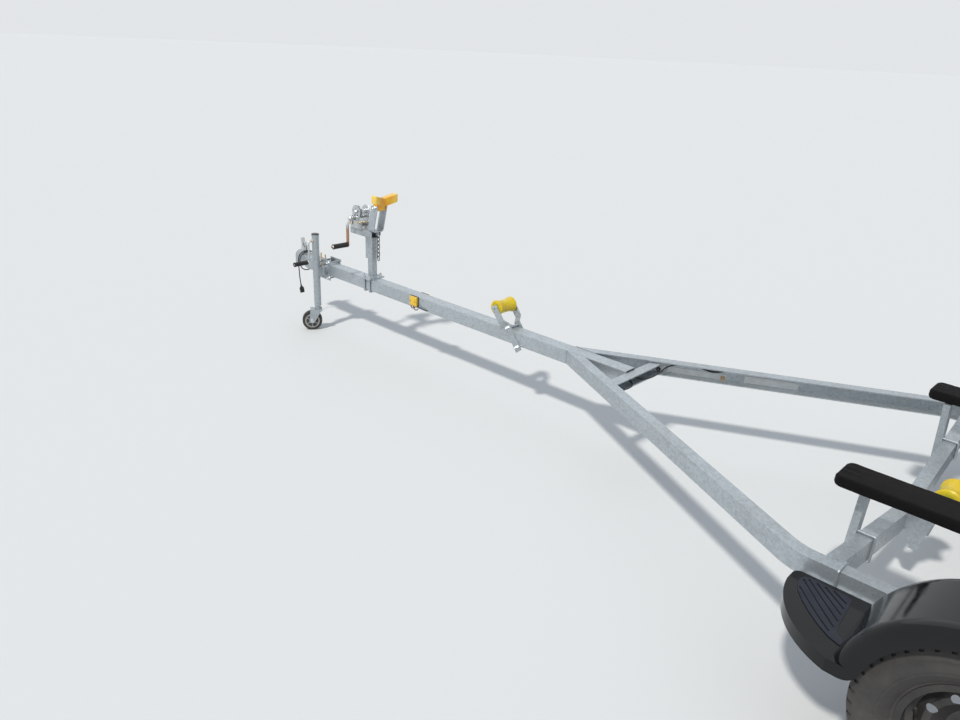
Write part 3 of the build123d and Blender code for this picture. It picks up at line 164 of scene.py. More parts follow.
def turned(profile, steps=32):
    """Turned shape about Z from (radius, height) points."""
    calm()
    bpy.ops.mesh.primitive_plane_add(size=0.001)
    edit()
    bpy.ops.mesh.merge(type="CENTER")
    bpy.ops.mesh.select_mode(type="VERT")
    bpy.ops.mesh.select_all(action="SELECT")
    bpy.ops.transform.translate(value=(profile[0][0], 0, profile[0][1]))
    for (r0, z0), (r1, z1) in zip(profile, profile[1:]):
        bpy.ops.mesh.extrude_vertices_move(TRANSFORM_OT_translate={"value": (r1 - r0, 0, z1 - z0)})
    bpy.ops.mesh.select_all(action="SELECT")
    bpy.ops.mesh.spin(steps=steps, angle=2 * math.pi, center=(0, 0, 0), axis=(0, 0, 1))
    bpy.ops.mesh.select_all(action="SELECT")
    bpy.ops.mesh.remove_doubles(threshold=0.00002)
    bpy.ops.mesh.normals_make_consistent(inside=False)
    return done()


def merged(*objects):
    """Join pieces into the first."""
    only(*objects)
    if len(objects) > 1:
        bpy.ops.object.join()
    return bpy.context.object


def set_at(obj, point, direction=(0, 0, 1), turn=0.0):
    """Stand a piece that was made about Z at a point, along a direction."""
    facing = Vector(direction).to_track_quat("Z", "X").to_matrix().to_4x4()
    obj.matrix_world = Matrix.Translation(point) @ facing @ Matrix.Rotation(turn, 4, "Z")
    return settle(obj)


def copies(master, places):
    """One copy of a master piece at each (point, direction, turn), joined."""
    made = []
    for point, direction, turn in places:
        made.append(set_at(twin_of(master), point, direction, turn))
    bpy.data.objects.remove(master)
    return merged(*made)


def hex_nut(across, high, washer, stud=0.0, rise=0.0):
    """Hexagon with chamfered top on a washer, with a threaded end where a stud is given."""
    calm()
    bpy.ops.mesh.primitive_cylinder_add(vertices=6, radius=across / math.sqrt(3), depth=high,
                                        location=(0, 0, 0.0016 + high / 2))
    settle(bpy.context.object)
    edit("DESELECT")
    pick(lambda centre, normal: normal.z > 0.9)
    bpy.ops.mesh.inset(thickness=across * 0.09)
    bpy.ops.transform.translate(value=(0, 0, high * 0.12))
    nut = done()
    parts = [nut, turned([(0, 0), (washer, 0), (washer, 0.0012), (washer - 0.0004, 0.0016), (0, 0.0016)], 24)]
    if stud:
        profile = [(0, 0.001), (stud, 0.001)]
        z = 0.0016 + high
        while z < 0.0016 + high + rise:
            profile += [(stud, z), (stud * 0.86, z + 0.0007)]
            z += 0.0014
        profile += [(stud * 0.8, z), (0, z)]
        parts.append(turned(profile, 16))
    return merged(*parts)


def tube_along(points, radius, steps=6, ripple=0.0, smooth=True):
    """Round bar or bead along points, as a mesh with closed ends."""
    calm()
    curve = bpy.data.curves.new("run", "CURVE")
    curve.dimensions = "3D"
    spline = curve.splines.new("NURBS" if smooth else "POLY")
    spline.points.add(len(points) - 1)
    for k, (point, place) in enumerate(zip(spline.points, points)):
        point.co = (*place, 1.0)
        point.radius = 1.0 + ripple * (1 if k % 2 else -1)
    if smooth:
        spline.order_u = 3
        spline.use_endpoint_u = True
        spline.resolution_u = 6
    curve.bevel_depth = radius
    curve.bevel_resolution = steps // 2
    curve.use_fill_caps = True
    obj = bpy.data.objects.new("run", curve)
    bpy.context.collection.objects.link(obj)
    only(obj)
    bpy.ops.object.convert(target="MESH")
    return bpy.context.object


def weld(points, radius):
    """Weld bead with ripples, laid between corner points."""
    run = []
    for a, b in zip(points, points[1:]):
        a, b = Vector(a), Vector(b)
        count = max(2, int((b - a).length / 0.005))
        run += [a.lerp(b, k / count) for k in range(count)]
    run.append(Vector(points[-1]))
    return tube_along(run, radius, 4, 0.16, smooth=False)


def mirrored(obj, axis="Y", centre=0.0):
    """A mirrored copy across a plane square to an axis."""
    twin = twin_of(obj)
    only(twin)
    twin.scale = tuple(-1.0 if a == axis else 1.0 for a in "XYZ")
    twin.location = tuple(2 * centre if a == axis else 0.0 for a in "XYZ")
    settle(twin)
    edit()
    bpy.ops.mesh.normals_make_consistent(inside=False)
    return done()


# ---------------------------------------------------------------- helpers for materials

def put(tree, kind, **values):
    """Add a node and set its properties."""
    node = tree.nodes.new(kind)
    for key, value in values.items():
        setattr(node, key, value)
    return node


def wire(tree, start, end):
    """Link two sockets."""
    tree.links.new(start, end)


def maths(tree, operation, a, b=None, clamp=False):
    """One Math node; a and b are sockets or numbers."""
    node = put(tree, "ShaderNodeMath", operation=operation, use_clamp=clamp)
    for k, value in enumerate((a, b)):
        if value is None:
            continue
        if isinstance(value, (int, float)):
            node.inputs[k].default_value = value
        else:
            wire(tree, value, node.inputs[k])
    return node.outputs[0]


def spread(tree, value, low, high, to_low=0.0, to_high=1.0):
    """Map a value from one range to another, held at its ends."""
    node = put(tree, "ShaderNodeMapRange")
    wire(tree, value, node.inputs["Value"])
    for key, number in zip(("From Min", "From Max", "To Min", "To Max"), (low, high, to_low, to_high)):
        node.inputs[key].default_value = number
    return node.outputs[0]


def blend_colours(tree, factor, a, b):
    """Mix two colours; each is a socket or an RGB tuple."""
    node = put(tree, "ShaderNodeMix", data_type="RGBA")
    if isinstance(factor, (int, float)):
        node.inputs[0].default_value = factor
    else:
        wire(tree, factor, node.inputs[0])
    for socket, value in ((node.inputs[6], a), (node.inputs[7], b)):
        if isinstance(value, (tuple, list)):
            socket.default_value = (*value[:3], 1.0)
        else:
            wire(tree, value, socket)
    return node.outputs[2]


def object_place(tree, scale=(1, 1, 1), turn=(0, 0, 0)):
    """Object coordinates through a Mapping node."""
    place = put(tree, "ShaderNodeTexCoord")
    mapping = put(tree, "ShaderNodeMapping")
    mapping.inputs["Scale"].default_value = scale
    mapping.inputs["Rotation"].default_value = turn
    wire(tree, place.outputs["Object"], mapping.inputs["Vector"])
    return mapping.outputs[0]


def cloud(tree, vector, scale, detail=4.0, rough=0.55):
    """Noise value at a scale in cells per metre."""
    node = put(tree, "ShaderNodeTexNoise")
    node.inputs["Scale"].default_value = scale
    node.inputs["Detail"].default_value = detail
    node.inputs["Roughness"].default_value = rough
    wire(tree, vector, node.inputs["Vector"])
    return node.outputs[0]


def new_group(name, inputs, outputs):
    """An empty shader node group with named sockets."""
    tree = bpy.data.node_groups.new(name, "ShaderNodeTree")
    for label, value in inputs:
        socket = tree.interface.new_socket(name=label, in_out="INPUT", socket_type="NodeSocketFloat")
        socket.default_value = value
    for label in outputs:
        tree.interface.new_socket(name=label, in_out="OUTPUT", socket_type="NodeSocketFloat")
    return tree, put(tree, "NodeGroupInput"), put(tree, "NodeGroupOutput")


def spangle_group():
    """Zinc crystals: a tone for each crystal, fine streaks and a slight relief."""
    tree, start, end = new_group("Spangle", [("Cells", 80.0)], ["Tone", "Relief", "Streak"])
    place = put(tree, "ShaderNodeTexCoord").outputs["Object"]
    bent = put(tree, "ShaderNodeVectorMath", operation="ADD")
    wobble = put(tree, "ShaderNodeTexNoise")
    wobble.inputs["Scale"].default_value = 60.0
    shift = put(tree, "ShaderNodeVectorMath", operation="SCALE")
    shift.inputs["Scale"].default_value = 0.010
    wire(tree, place, wobble.inputs["Vector"])
    wire(tree, wobble.outputs["Color"], shift.inputs[0])
    wire(tree, place, bent.inputs[0])
    wire(tree, shift.outputs[0], bent.inputs[1])
    cells = put(tree, "ShaderNodeTexVoronoi", feature="F1")
    wire(tree, bent.outputs[0], cells.inputs["Vector"])
    wire(tree, start.outputs["Cells"], cells.inputs["Scale"])
    split = put(tree, "ShaderNodeSeparateColor")
    wire(tree, cells.outputs["Color"], split.inputs[0])
    patches = cloud(tree, place, 3.2, 5.0, 0.6)
    tone = maths(tree, "ADD", maths(tree, "MULTIPLY", split.outputs[0], 0.5),
                 maths(tree, "MULTIPLY", patches, 0.5))
    wire(tree, tone, end.inputs["Tone"])
    grit = cloud(tree, place, 420.0, 3.0)
    relief = maths(tree, "ADD", maths(tree, "MULTIPLY", split.outputs[1], 0.6),
                   maths(tree, "MULTIPLY", grit, 0.4))
    wire(tree, relief, end.inputs["Relief"])
    drawn = object_place(tree, (2.0, 9.0, 34.0))
    wire(tree, cloud(tree, drawn, 1.6, 6.0, 0.65), end.inputs["Streak"])
    return tree


def edge_wear_and_highlight_group():
    """Mask that is 1 on sharp outer edges, broken up by noise; it drives worn chips and painted edge highlights."""
    tree, start, end = new_group("Edge wear and highlight", [("Radius", 0.002), ("Amount", 1.0)], ["Mask"])
    bevel = put(tree, "ShaderNodeBevel", samples=4)
    wire(tree, start.outputs["Radius"], bevel.inputs["Radius"])
    geometry = put(tree, "ShaderNodeNewGeometry")
    dot = put(tree, "ShaderNodeVectorMath", operation="DOT_PRODUCT")
    wire(tree, bevel.outputs[0], dot.inputs[0])
    wire(tree, geometry.outputs["Normal"], dot.inputs[1])
    turn = spread(tree, dot.outputs["Value"], 0.995, 0.80)
    place = put(tree, "ShaderNodeTexCoord").outputs["Object"]
    broken = spread(tree, cloud(tree, place, 55.0, 6.0, 0.7), 0.38, 0.62)
    mask = maths(tree, "MULTIPLY", maths(tree, "MULTIPLY", turn, broken), start.outputs["Amount"], clamp=True)
    wire(tree, mask, end.inputs["Mask"])
    return tree


def dust_group():
    """Mask of dust and road dirt: thicker on upward faces and near the ground."""
    tree, start, end = new_group("Dust", [("Amount", 0.5), ("Patch", 6.0)], ["Mask", "Grit"])
    place = put(tree, "ShaderNodeTexCoord").outputs["Object"]
    split = put(tree, "ShaderNodeSeparateXYZ")
    wire(tree, place, split.inputs[0])
    up = put(tree, "ShaderNodeSeparateXYZ")
    wire(tree, put(tree, "ShaderNodeNewGeometry").outputs["Normal"], up.inputs[0])
    facing = spread(tree, up.outputs["Z"], -0.2, 1.0, 0.25, 1.0)
    low = spread(tree, split.outputs["Z"], 0.0, 0.7, 1.0, 0.45)
    spots = put(tree, "ShaderNodeTexNoise")
    spots.inputs["Detail"].default_value = 8.0
    spots.inputs["Roughness"].default_value = 0.65
    wire(tree, start.outputs["Patch"], spots.inputs["Scale"])
    wire(tree, place, spots.inputs["Vector"])
    body = spread(tree, spots.outputs[0], 0.35, 0.75)
    mask = maths(tree, "MULTIPLY", maths(tree, "MULTIPLY", facing, low), body)
    wire(tree, maths(tree, "MULTIPLY", mask, start.outputs["Amount"], clamp=True), end.inputs["Mask"])
    wire(tree, cloud(tree, place, 900.0, 2.0), end.inputs["Grit"])
    return tree


def use_group(tree, name, **values):
    """Place a shared group; returns its node."""
    node = put(tree, "ShaderNodeGroup", node_tree=bpy.data.node_groups[name])
    for key, value in values.items():
        node.inputs[key].default_value = value
    return node


def new_material(name, rough=0.5, metal=0.0, specular=0.5):
    """A material; returns its node tree and its Principled shader."""
    material = bpy.data.materials.new(name)
    material.use_nodes = True
    shader = material.node_tree.nodes["Principled BSDF"]
    shader.inputs["Roughness"].default_value = rough
    shader.inputs["Metallic"].default_value = metal
    shader.inputs["Specular IOR Level"].default_value = specular
    return material.node_tree, shader


def bump(tree, shader, height, distance, strength=1.0):
    """Feed a height to the shader's normal."""
    node = put(tree, "ShaderNodeBump")
    node.inputs["Strength"].default_value = strength
    node.inputs["Distance"].default_value = distance
    wire(tree, height, node.inputs["Height"])
    wire(tree, node.outputs[0], shader.inputs["Normal"])
    return node


def dusted(tree, shader, dust, base, grime):
    """Send a colour to the shader under its dust."""
    wire(tree, blend_colours(tree, dust.outputs["Mask"], base, grime), shader.inputs["Base Color"])


def tinted(colour, factor, lift=0.0):
    """The colour made lighter or darker."""
    return tuple(min(1.0, c * factor + lift) for c in colour)


def galvanized(name, colour, cells, dirt=0.35, edge_wear_and_highlight=0.5):
    """Hot dipped zinc: spangle, streaks, edges lightened partly by wear and partly as painted highlight, and dust.
    """
    tree, shader = new_material(name, metal=0.55)
    skin = use_group(tree, "Spangle", Cells=cells)
    edge_mask = use_group(tree, "Edge wear and highlight", Radius=0.0016, Amount=edge_wear_and_highlight)
    dust = use_group(tree, "Dust", Amount=dirt, Patch=5.0)
    base = blend_colours(tree, spread(tree, skin.outputs["Tone"], 0.25, 0.75), tinted(colour, 0.88),
                         tinted(colour, 1.10))
    streaked = blend_colours(tree, spread(tree, skin.outputs["Streak"], 0.52, 0.74, 0.0, 0.30), base,
                             tinted(colour, 1.30))
    # Painted highlight: sharp edges are lightened the way lit rounded corners shine, on top of some real wear.
    edged = blend_colours(tree, edge_mask.outputs["Mask"], streaked, tinted(colour, 1.45, 0.03))
    dusted(tree, shader, dust, edged, (0.30, 0.275, 0.24))
    rough = spread(tree, skin.outputs["Tone"], 0.2, 0.8, 0.46, 0.32)
    wire(tree, maths(tree, "ADD", rough, maths(tree, "MULTIPLY", dust.outputs["Mask"], 0.4), clamp=True),
         shader.inputs["Roughness"])
    bump(tree, shader, skin.outputs["Relief"], 0.0003, 0.25)


def plated(name, colour, rough=0.28, tint=(0.55, 0.56, 0.50), tint_share=0.25, low=None):
    """Bright plating with a broken, slightly coloured film."""
    tree, shader = new_material(name, metal=0.85)
    place = object_place(tree)
    film = spread(tree, cloud(tree, place, 38.0, 5.0, 0.6), 0.42, 0.68)
    edge_mask = use_group(tree, "Edge wear and highlight", Radius=0.0010, Amount=0.7)
    dust = use_group(tree, "Dust", Amount=0.08, Patch=14.0)
    share = maths(tree, "MULTIPLY", film, tint_share)
    if low:
        height = put(tree, "ShaderNodeSeparateXYZ")
        wire(tree, place, height.inputs[0])
        share = maths(tree, "MULTIPLY", spread(tree, height.outputs["Z"], low[0], low[1], 1.0, 0.0),
                      tint_share)
    base = blend_colours(tree, share, colour, tint)
    # Painted highlight: sharp edges are lightened the way lit corners shine, on top of some real wear.
    edged = blend_colours(tree, edge_mask.outputs["Mask"], base, tinted(colour, 1.3, 0.04))
    dusted(tree, shader, dust, edged, (0.24, 0.215, 0.18))
    fine = cloud(tree, object_place(tree, (1, 1, 8)), 160.0, 3.0)
    wire(tree, spread(tree, fine, 0.3, 0.7, rough * 0.75, rough * 1.5), shader.inputs["Roughness"])
    bump(tree, shader, fine, 0.00015, 0.4)


def painted(name, colour, rough=0.42, dirt=0.5, chips=0.5):
    """Painted steel with chips along the edges and road dust."""
    tree, shader = new_material(name)
    place = object_place(tree)
    mottle = cloud(tree, place, 24.0, 5.0)
    edge_mask = use_group(tree, "Edge wear and highlight", Radius=0.0014, Amount=chips)
    dust = use_group(tree, "Dust", Amount=dirt, Patch=9.0)
    base = blend_colours(tree, mottle, tinted(colour, 0.8), tinted(colour, 1.25, 0.004))
    edged = blend_colours(tree, edge_mask.outputs["Mask"], base, (0.30, 0.25, 0.21))
    dusted(tree, shader, dust, edged, (0.25, 0.225, 0.19))
    wire(tree, spread(tree, mottle, 0.3, 0.7, rough * 0.8, rough * 1.3), shader.inputs["Roughness"])
    bump(tree, shader, cloud(tree, place, 260.0, 3.0), 0.0003, 0.35)


def rubber(name, colour, dirt=0.6, grain=380.0):
    """Matt rubber, greyed by dust in its texture."""
    tree, shader = new_material(name, specular=0.35)
    place = object_place(tree)
    mottle = cloud(tree, place, 17.0, 6.0, 0.6)
    dust = use_group(tree, "Dust", Amount=dirt, Patch=10.0)
    base = blend_colours(tree, mottle, tinted(colour, 0.75), tinted(colour, 1.35))
    dusted(tree, shader, dust, base, (0.20, 0.185, 0.165))
    wire(tree, spread(tree, mottle, 0.3, 0.7, 0.60, 0.82), shader.inputs["Roughness"])
    bump(tree, shader, cloud(tree, place, grain, 4.0), 0.0004, 0.5)


def gloss_plastic(name, colour, dirt=0.05):
    """Glossy moulded plastic: slight orange peel, fine scratches and dust."""
    tree, shader = new_material(name, specular=0.32)
    place = object_place(tree)
    mottle = cloud(tree, place, 4.0, 5.0)
    dust = use_group(tree, "Dust", Amount=dirt, Patch=7.0)
    base = blend_colours(tree, mottle, tinted(colour, 0.8), tinted(colour, 1.3, 0.002))
    dusted(tree, shader, dust, base, (0.13, 0.115, 0.095))
    scratch = cloud(tree, object_place(tree, (2.0, 7.0, 2.0), (0, 0, 0.5)), 9.0, 8.0, 0.7)
    shine = maths(tree, "ADD", spread(tree, scratch, 0.35, 0.75, 0.07, 0.17),
                  maths(tree, "MULTIPLY", dust.outputs["Mask"], 0.5), clamp=True)
    wire(tree, shine, shader.inputs["Roughness"])
    bump(tree, shader, cloud(tree, place, 130.0, 3.0), 0.0004, 0.25)


def poly(name, colour, deep, lit_wing_colour=None):
    """Translucent moulded urethane with scuffs; a colour given for the wings is painted light shining through them
    where they are thin.
    """
    tree, shader = new_material(name, rough=0.3)
    shader.inputs["Subsurface Weight"].default_value = 0.35
    shader.inputs["Subsurface Radius"].default_value = (0.020, 0.008, 0.002)
    shader.inputs["Subsurface Scale"].default_value = 0.6
    place = object_place(tree)
    mottle = cloud(tree, place, 22.0, 5.0, 0.55)
    dust = use_group(tree, "Dust", Amount=0.22, Patch=16.0)
    base = blend_colours(tree, spread(tree, mottle, 0.3, 0.7), deep, colour)
    # Painted light: towards the thin wings the colour turns lighter and yellower, as if lit through, while the thick
    # core stays deep orange.
    if lit_wing_colour:
        axes = put(tree, "ShaderNodeSeparateXYZ")
        wire(tree, object_place(tree), axes.inputs["Vector"])
        out = maths(tree, "ABSOLUTE", axes.outputs["Y"])
        out = maths(tree, "ADD", out, maths(tree, "MULTIPLY", mottle, 0.02))
        base = blend_colours(tree, spread(tree, out, 0.035, 0.085), base, lit_wing_colour)
    dusted(tree, shader, dust, base, (0.42, 0.33, 0.19))
    scuff = cloud(tree, object_place(tree, (1, 6, 1)), 70.0, 6.0, 0.7)
    wire(tree, spread(tree, scuff, 0.35, 0.65, 0.24, 0.42), shader.inputs["Roughness"])
    bump(tree, shader, scuff, 0.0003, 0.3)


def pile_carpet(name, colour):
    """Short looped carpet: mottled fibres, soft sheen and deep fine relief."""
    tree, shader = new_material(name, rough=0.95, specular=0.15)
    shader.inputs["Sheen Weight"].default_value = 0.06
    shader.inputs["Sheen Roughness"].default_value = 0.5
    shader.inputs["Sheen Tint"].default_value = (0.40, 0.36, 0.36, 1.0)
    place = object_place(tree)
    loops = put(tree, "ShaderNodeTexVoronoi", feature="F1")
    loops.inputs["Scale"].default_value = 420.0
    wire(tree, place, loops.inputs["Vector"])
    fibre = cloud(tree, place, 1300.0, 3.0, 0.7)
    mottle = cloud(tree, place, 12.0, 6.0, 0.6)
    dust = use_group(tree, "Dust", Amount=0.08, Patch=9.0)
    base = blend_colours(tree, fibre, tinted(colour, 0.35), tinted(colour, 2.2))
    aged = blend_colours(tree, spread(tree, mottle, 0.4, 0.75, 0.0, 0.4), base, (0.014, 0.010, 0.009))
    dusted(tree, shader, dust, aged, (0.08, 0.070, 0.060))
    height = maths(tree, "SUBTRACT", fibre, loops.outputs["Distance"])
    bump(tree, shader, height, 0.0018, 0.9)


def lens(name, colour):
    """Moulded lamp lens with ribs just below its surface."""
    tree, shader = new_material(name, rough=0.12)
    shader.inputs["Subsurface Weight"].default_value = 0.25
    shader.inputs["Subsurface Radius"].default_value = (0.01, 0.004, 0.001)
    shader.inputs["Coat Weight"].default_value = 0.6
    shader.inputs["Coat Roughness"].default_value = 0.05
    place = object_place(tree)
    waves = put(tree, "ShaderNodeTexWave", wave_type="BANDS", bands_direction="X")
    waves.inputs["Scale"].default_value = 90.0
    wire(tree, place, waves.inputs["Vector"])
    dust = use_group(tree, "Dust", Amount=0.2, Patch=20.0)
    base = blend_colours(tree, spread(tree, waves.outputs["Fac"], 0.2, 0.8, 0.0, 0.35), colour,
                         tinted(colour, 0.6))
    dusted(tree, shader, dust, base, (0.35, 0.30, 0.24))
    bump(tree, shader, waves.outputs["Fac"], 0.0006, 0.35)


def sheath(name, colour):
    """Soft cable sheath with faint lay marks."""
    tree, shader = new_material(name, rough=0.5, specular=0.4)
    place = object_place(tree)
    mottle = cloud(tree, place, 60.0, 5.0)
    dust = use_group(tree, "Dust", Amount=0.45, Patch=30.0)
    base = blend_colours(tree, mottle, tinted(colour, 0.7), tinted(colour, 1.4))
    dusted(tree, shader, dust, base, (0.22, 0.20, 0.17))
    wire(tree, spread(tree, mottle, 0.3, 0.7, 0.42, 0.62), shader.inputs["Roughness"])
    bump(tree, shader, cloud(tree, place, 500.0, 2.0), 0.0002, 0.4)


def make_materials():
    """All finishes, by plain name."""
    colours = bpy.context.scene.trailer_colours
    cells = 1.0 / bpy.context.scene.trailer_sizes.spangle
    spangle_group()
    edge_wear_and_highlight_group()
    dust_group()
    zinc_skin = tuple(colours.zinc_skin)
    hardware = tuple(colours.hardware)
    galvanized("galvanized frame", zinc_skin, cells)
    galvanized("galvanized running gear", tinted(zinc_skin, 0.86), cells * 1.3, dirt=0.75, edge_wear_and_highlight=0.35)
    galvanized("galvanized jack", tinted(zinc_skin, 0.93), cells * 1.6, dirt=0.3)
    painted("wheel paint", (0.014, 0.014, 0.015), rough=0.45, dirt=0.75, chips=0.4)
    plated("zinc plate", hardware)
    plated("yellow zinc", (0.62, 0.52, 0.33), tint=(0.55, 0.30, 0.16), tint_share=0.55)
    plated("crank plate", (0.58, 0.60, 0.62), rough=0.32, tint=(0.46, 0.21, 0.10), tint_share=0.9,
           low=(0.735, 0.765))
    plated("dull chain", (0.26, 0.26, 0.26), rough=0.42, tint=(0.16, 0.12, 0.09), tint_share=0.6)
    painted("wheel grey", (0.34, 0.34, 0.33), rough=0.45, dirt=0.5, chips=0.2)
    painted("brown sleeve", (0.16, 0.045, 0.018), rough=0.5, dirt=0.2, chips=0.1)
    painted("black paint", (0.018, 0.018, 0.020))
    painted("spring steel", (0.045, 0.040, 0.037), rough=0.6, dirt=0.8, chips=0.8)
    rubber("tyre rubber", tuple(colours.tyre), dirt=1.0)
    rubber("soft rubber", (0.020, 0.020, 0.021), dirt=0.35)
    gloss_plastic("fender plastic", tuple(colours.fender))
    gloss_plastic("cap plastic", (0.008, 0.008, 0.009), dirt=0.10)
    # Near-black plastic; the blue tint in its colour is painted reflection of the sky.
    rubber("tread plastic", (0.016, 0.020, 0.032), dirt=0.10, grain=520.0)
    galvanized("weld bead", tinted(zinc_skin, 1.05), cells * 3, dirt=0.3, edge_wear_and_highlight=0.2)
    painted("pale plate", (0.74, 0.75, 0.74), rough=0.35, dirt=0.2, chips=0.2)
    painted("tan tag", (0.50, 0.34, 0.17), rough=0.5, dirt=0.3, chips=0.3)
    poly("lemon poly", tuple(colours.roller), (0.74, 0.50, 0.006))
    # The lighter yellow at the bow stop's wings is painted light shining through the thin plastic.
    poly("orange poly", (0.90, 0.56, 0.025), (0.90, 0.33, 0.008), lit_wing_colour=(0.96, 0.66, 0.11))
    pile_carpet("bunk carpet", tuple(colours.carpet))
    lens("amber lens", tuple(colours.marker))
    lens("red lens", (0.50, 0.008, 0.008))
    sheath("cable sheath", (0.014, 0.014, 0.015))


FINISH = {
    "galvanized frame": ["tongue", "side_rail_left", "side_rail_right", "front_tie", "crossmember_front",
                         "crossmember_rear", "rail_clamps", "bunk_posts", "winch_post", "stand_clamps",
                         "winch_arm", "bow_stop_arms", "tongue_roller_bracket", "keel_bracket_front",
                         "keel_bracket_rear", "fender_brackets", "lamp_brackets"],
    "galvanized running gear": ["axle", "spring_hangers", "spring_seats"],
    "galvanized jack": ["jack_mount", "jack_tube", "jack_leg", "caster_fork", "coupler"],
    "wheel paint": ["rim_left", "rim_right"],
    "zinc plate": ["coupler_latch", "winch_frame", "winch_drum", "jack_crank"],
    "dull chain": ["bow_chain"],
    "crank plate": ["winch_crank"],
    "spring steel": ["leaf_springs"],
    "black paint": ["hub_left", "hub_right"],
    "tyre rubber": ["tyre_left", "tyre_right", "caster_wheel"],
    "soft rubber": ["lead_gland"],
    "fender plastic": ["fender_left", "fender_right"],
    "lemon poly": ["tongue_roller", "keel_roller_front", "keel_roller_rear"],
    "orange poly": ["bow_stop"],
    "bunk carpet": ["bunk_left", "bunk_right"],
    "amber lens": ["side_markers"],
    "red lens": ["tail_lamps"],
    "cable sheath": ["wiring_lead", "wiring_plug"],
}


# ---------------------------------------------------------------- places on the trailer

AXLE_X, AXLE_Z, WHEEL_Y = -1.572, 0.2985, 1.030
TONGUE_HALF = 0.0381            # half the tongue's side
TONGUE_MID = 0.4039             # height of the tongue's centre line
RAIL_TIP = 0.505                # where the rails' slanted run starts at the tongue
RAIL_ANGLE = math.atan2(0.828 - TONGUE_HALF, RAIL_TIP + 0.990)
CROSS = (-1.095, -2.610)
DRUM = (2.182, 0.846)
PINION = (2.2177, 0.8035)
JACK = (2.535, 0.112)


def rail_point(side, along, inset, z):
    """Place on a rail's sloping run: distance from its tip and inwards from its outer face."""
    c, s = math.cos(RAIL_ANGLE), math.sin(RAIL_ANGLE)
    return Vector((RAIL_TIP - along * c - inset * s, side * (TONGUE_HALF + along * s - inset * c), z))


def cross_top(y):
    """Height of a crossmember's top face."""
    return 0.293 + (0.446 - 0.293) / 0.7774 * abs(y)


# ---------------------------------------------------------------- operators

class TRAILER_OT_stage(bpy.types.Operator):
    """Camera at the photograph's viewpoint, pale floor and soft lamps"""
    bl_idname = "trailer.stage"
    bl_label = "Stage"

    def execute(self, context):
        scene = context.scene
        scene.view_settings.view_transform = "Standard"
        calm()
        yaw, pitch, roll = (math.radians(a) for a in (46.7438, 22.1466, 2.5744))
        forward = Vector((math.cos(pitch) * math.cos(yaw), -math.cos(pitch) * math.sin(yaw), -math.sin(pitch)))
        flat = Vector((-math.sin(yaw), -math.cos(yaw), 0.0))
        lift = flat.cross(forward)
        right = flat * math.cos(roll) + lift * math.sin(roll)
        up = lift * math.cos(roll) - flat * math.sin(roll)
        bpy.ops.object.camera_add()
        camera = context.object
        camera.name = "photo_camera"
        camera.matrix_world = Matrix((
            (right.x, up.x, -forward.x, -1.615),
            (right.y, up.y, -forward.y, 2.9133),
            (right.z, up.z, -forward.z, 1.8105),
            (0, 0, 0, 1)))
        camera.data.lens = 28.74
        camera.data.sensor_width = 36.0
        camera.data.clip_start = 0.02
        scene.camera = camera

        calm()
        bpy.ops.mesh.primitive_plane_add(size=600.0, location=(0, 0, 0))
        floor = context.object
        floor.name = "floor"
        tree, shader = new_material("floor", rough=0.9, specular=0.1)
        shader.inputs["Base Color"].default_value = (0.80, 0.80, 0.79, 1.0)
        floor.data.materials.append(bpy.data.materials["floor"])

        world = bpy.data.worlds.new("studio")
        scene.world = world
        world.use_nodes = True
        tree = world.node_tree
        soft = tree.nodes["Background"]
        soft.inputs["Color"].default_value = (0.80, 0.89, 1.0, 1.0)
        soft.inputs["Strength"].default_value = 0.46
        white = put(tree, "ShaderNodeBackground")
        white.inputs["Color"].default_value = (0.765, 0.785, 0.80, 1.0)
        white.inputs["Strength"].default_value = 1.0
        path = put(tree, "ShaderNodeLightPath")
        seen = maths(tree, "MAXIMUM", path.outputs["Is Camera Ray"], path.outputs["Is Transmission Ray"])
        seen = maths(tree, "MAXIMUM", seen, path.outputs["Is Glossy Ray"])
        mix = put(tree, "ShaderNodeMixShader")
        wire(tree, seen, mix.inputs[0])
        wire(tree, soft.outputs[0], mix.inputs[1])
        wire(tree, white.outputs[0], mix.inputs[2])
        wire(tree, mix.outputs[0], tree.nodes["World Output"].inputs["Surface"])

        for name, aim, energy, angle, colour in (
                ("key", (0.10, -0.60, -0.79), 2.1, 0.07, (1.0, 0.975, 0.93)),
                ("fill", (-0.55, 0.45, -0.70), 0.35, 0.9, (0.88, 0.94, 1.0))):
            calm()
            bpy.ops.object.light_add(type="SUN", location=(0, 0, 4))
            lamp = context.object
            lamp.name = name
            lamp.rotation_euler = Vector(aim).to_track_quat("-Z", "Y").to_euler()
            lamp.data.energy = energy
            lamp.data.angle = angle
            lamp.data.color = colour
        return {"FINISHED"}


class TRAILER_OT_finishes(bpy.types.Operator):
    """Build the finishes and give each CAD piece its own"""
    bl_idname = "trailer.finishes"
    bl_label = "Finishes"

    def execute(self, context):
        make_materials()
        for finish, names in FINISH.items():
            for name in names:
                data = NODES[name].data
                data.materials.clear()
                data.materials.append(bpy.data.materials[finish])
        return {"FINISHED"}


LEAD_ROUTE = [(2.590, -0.006, 0.350), (2.630, -0.006, 0.350), (2.690, -0.012, 0.345), (2.740, -0.023, 0.337),
              (2.776, -0.046, 0.346), (2.789, -0.064, 0.386), (2.791, -0.062, 0.436), (2.794, -0.030, 0.466),
              (2.797, 0.030, 0.465), (2.800, 0.062, 0.436), (2.803, 0.065, 0.388), (2.806, 0.045, 0.346),
              (2.809, 0.0, 0.330), (2.811, -0.044, 0.345), (2.812, -0.064, 0.385), (2.812, -0.062, 0.436),
              (2.812, -0.030, 0.467), (2.814, 0.030, 0.467), (2.819, 0.060, 0.440), (2.825, 0.061, 0.390),
              (2.826, 0.057, 0.332), (2.821, 0.058, 0.275), (2.810, 0.057, 0.228)]


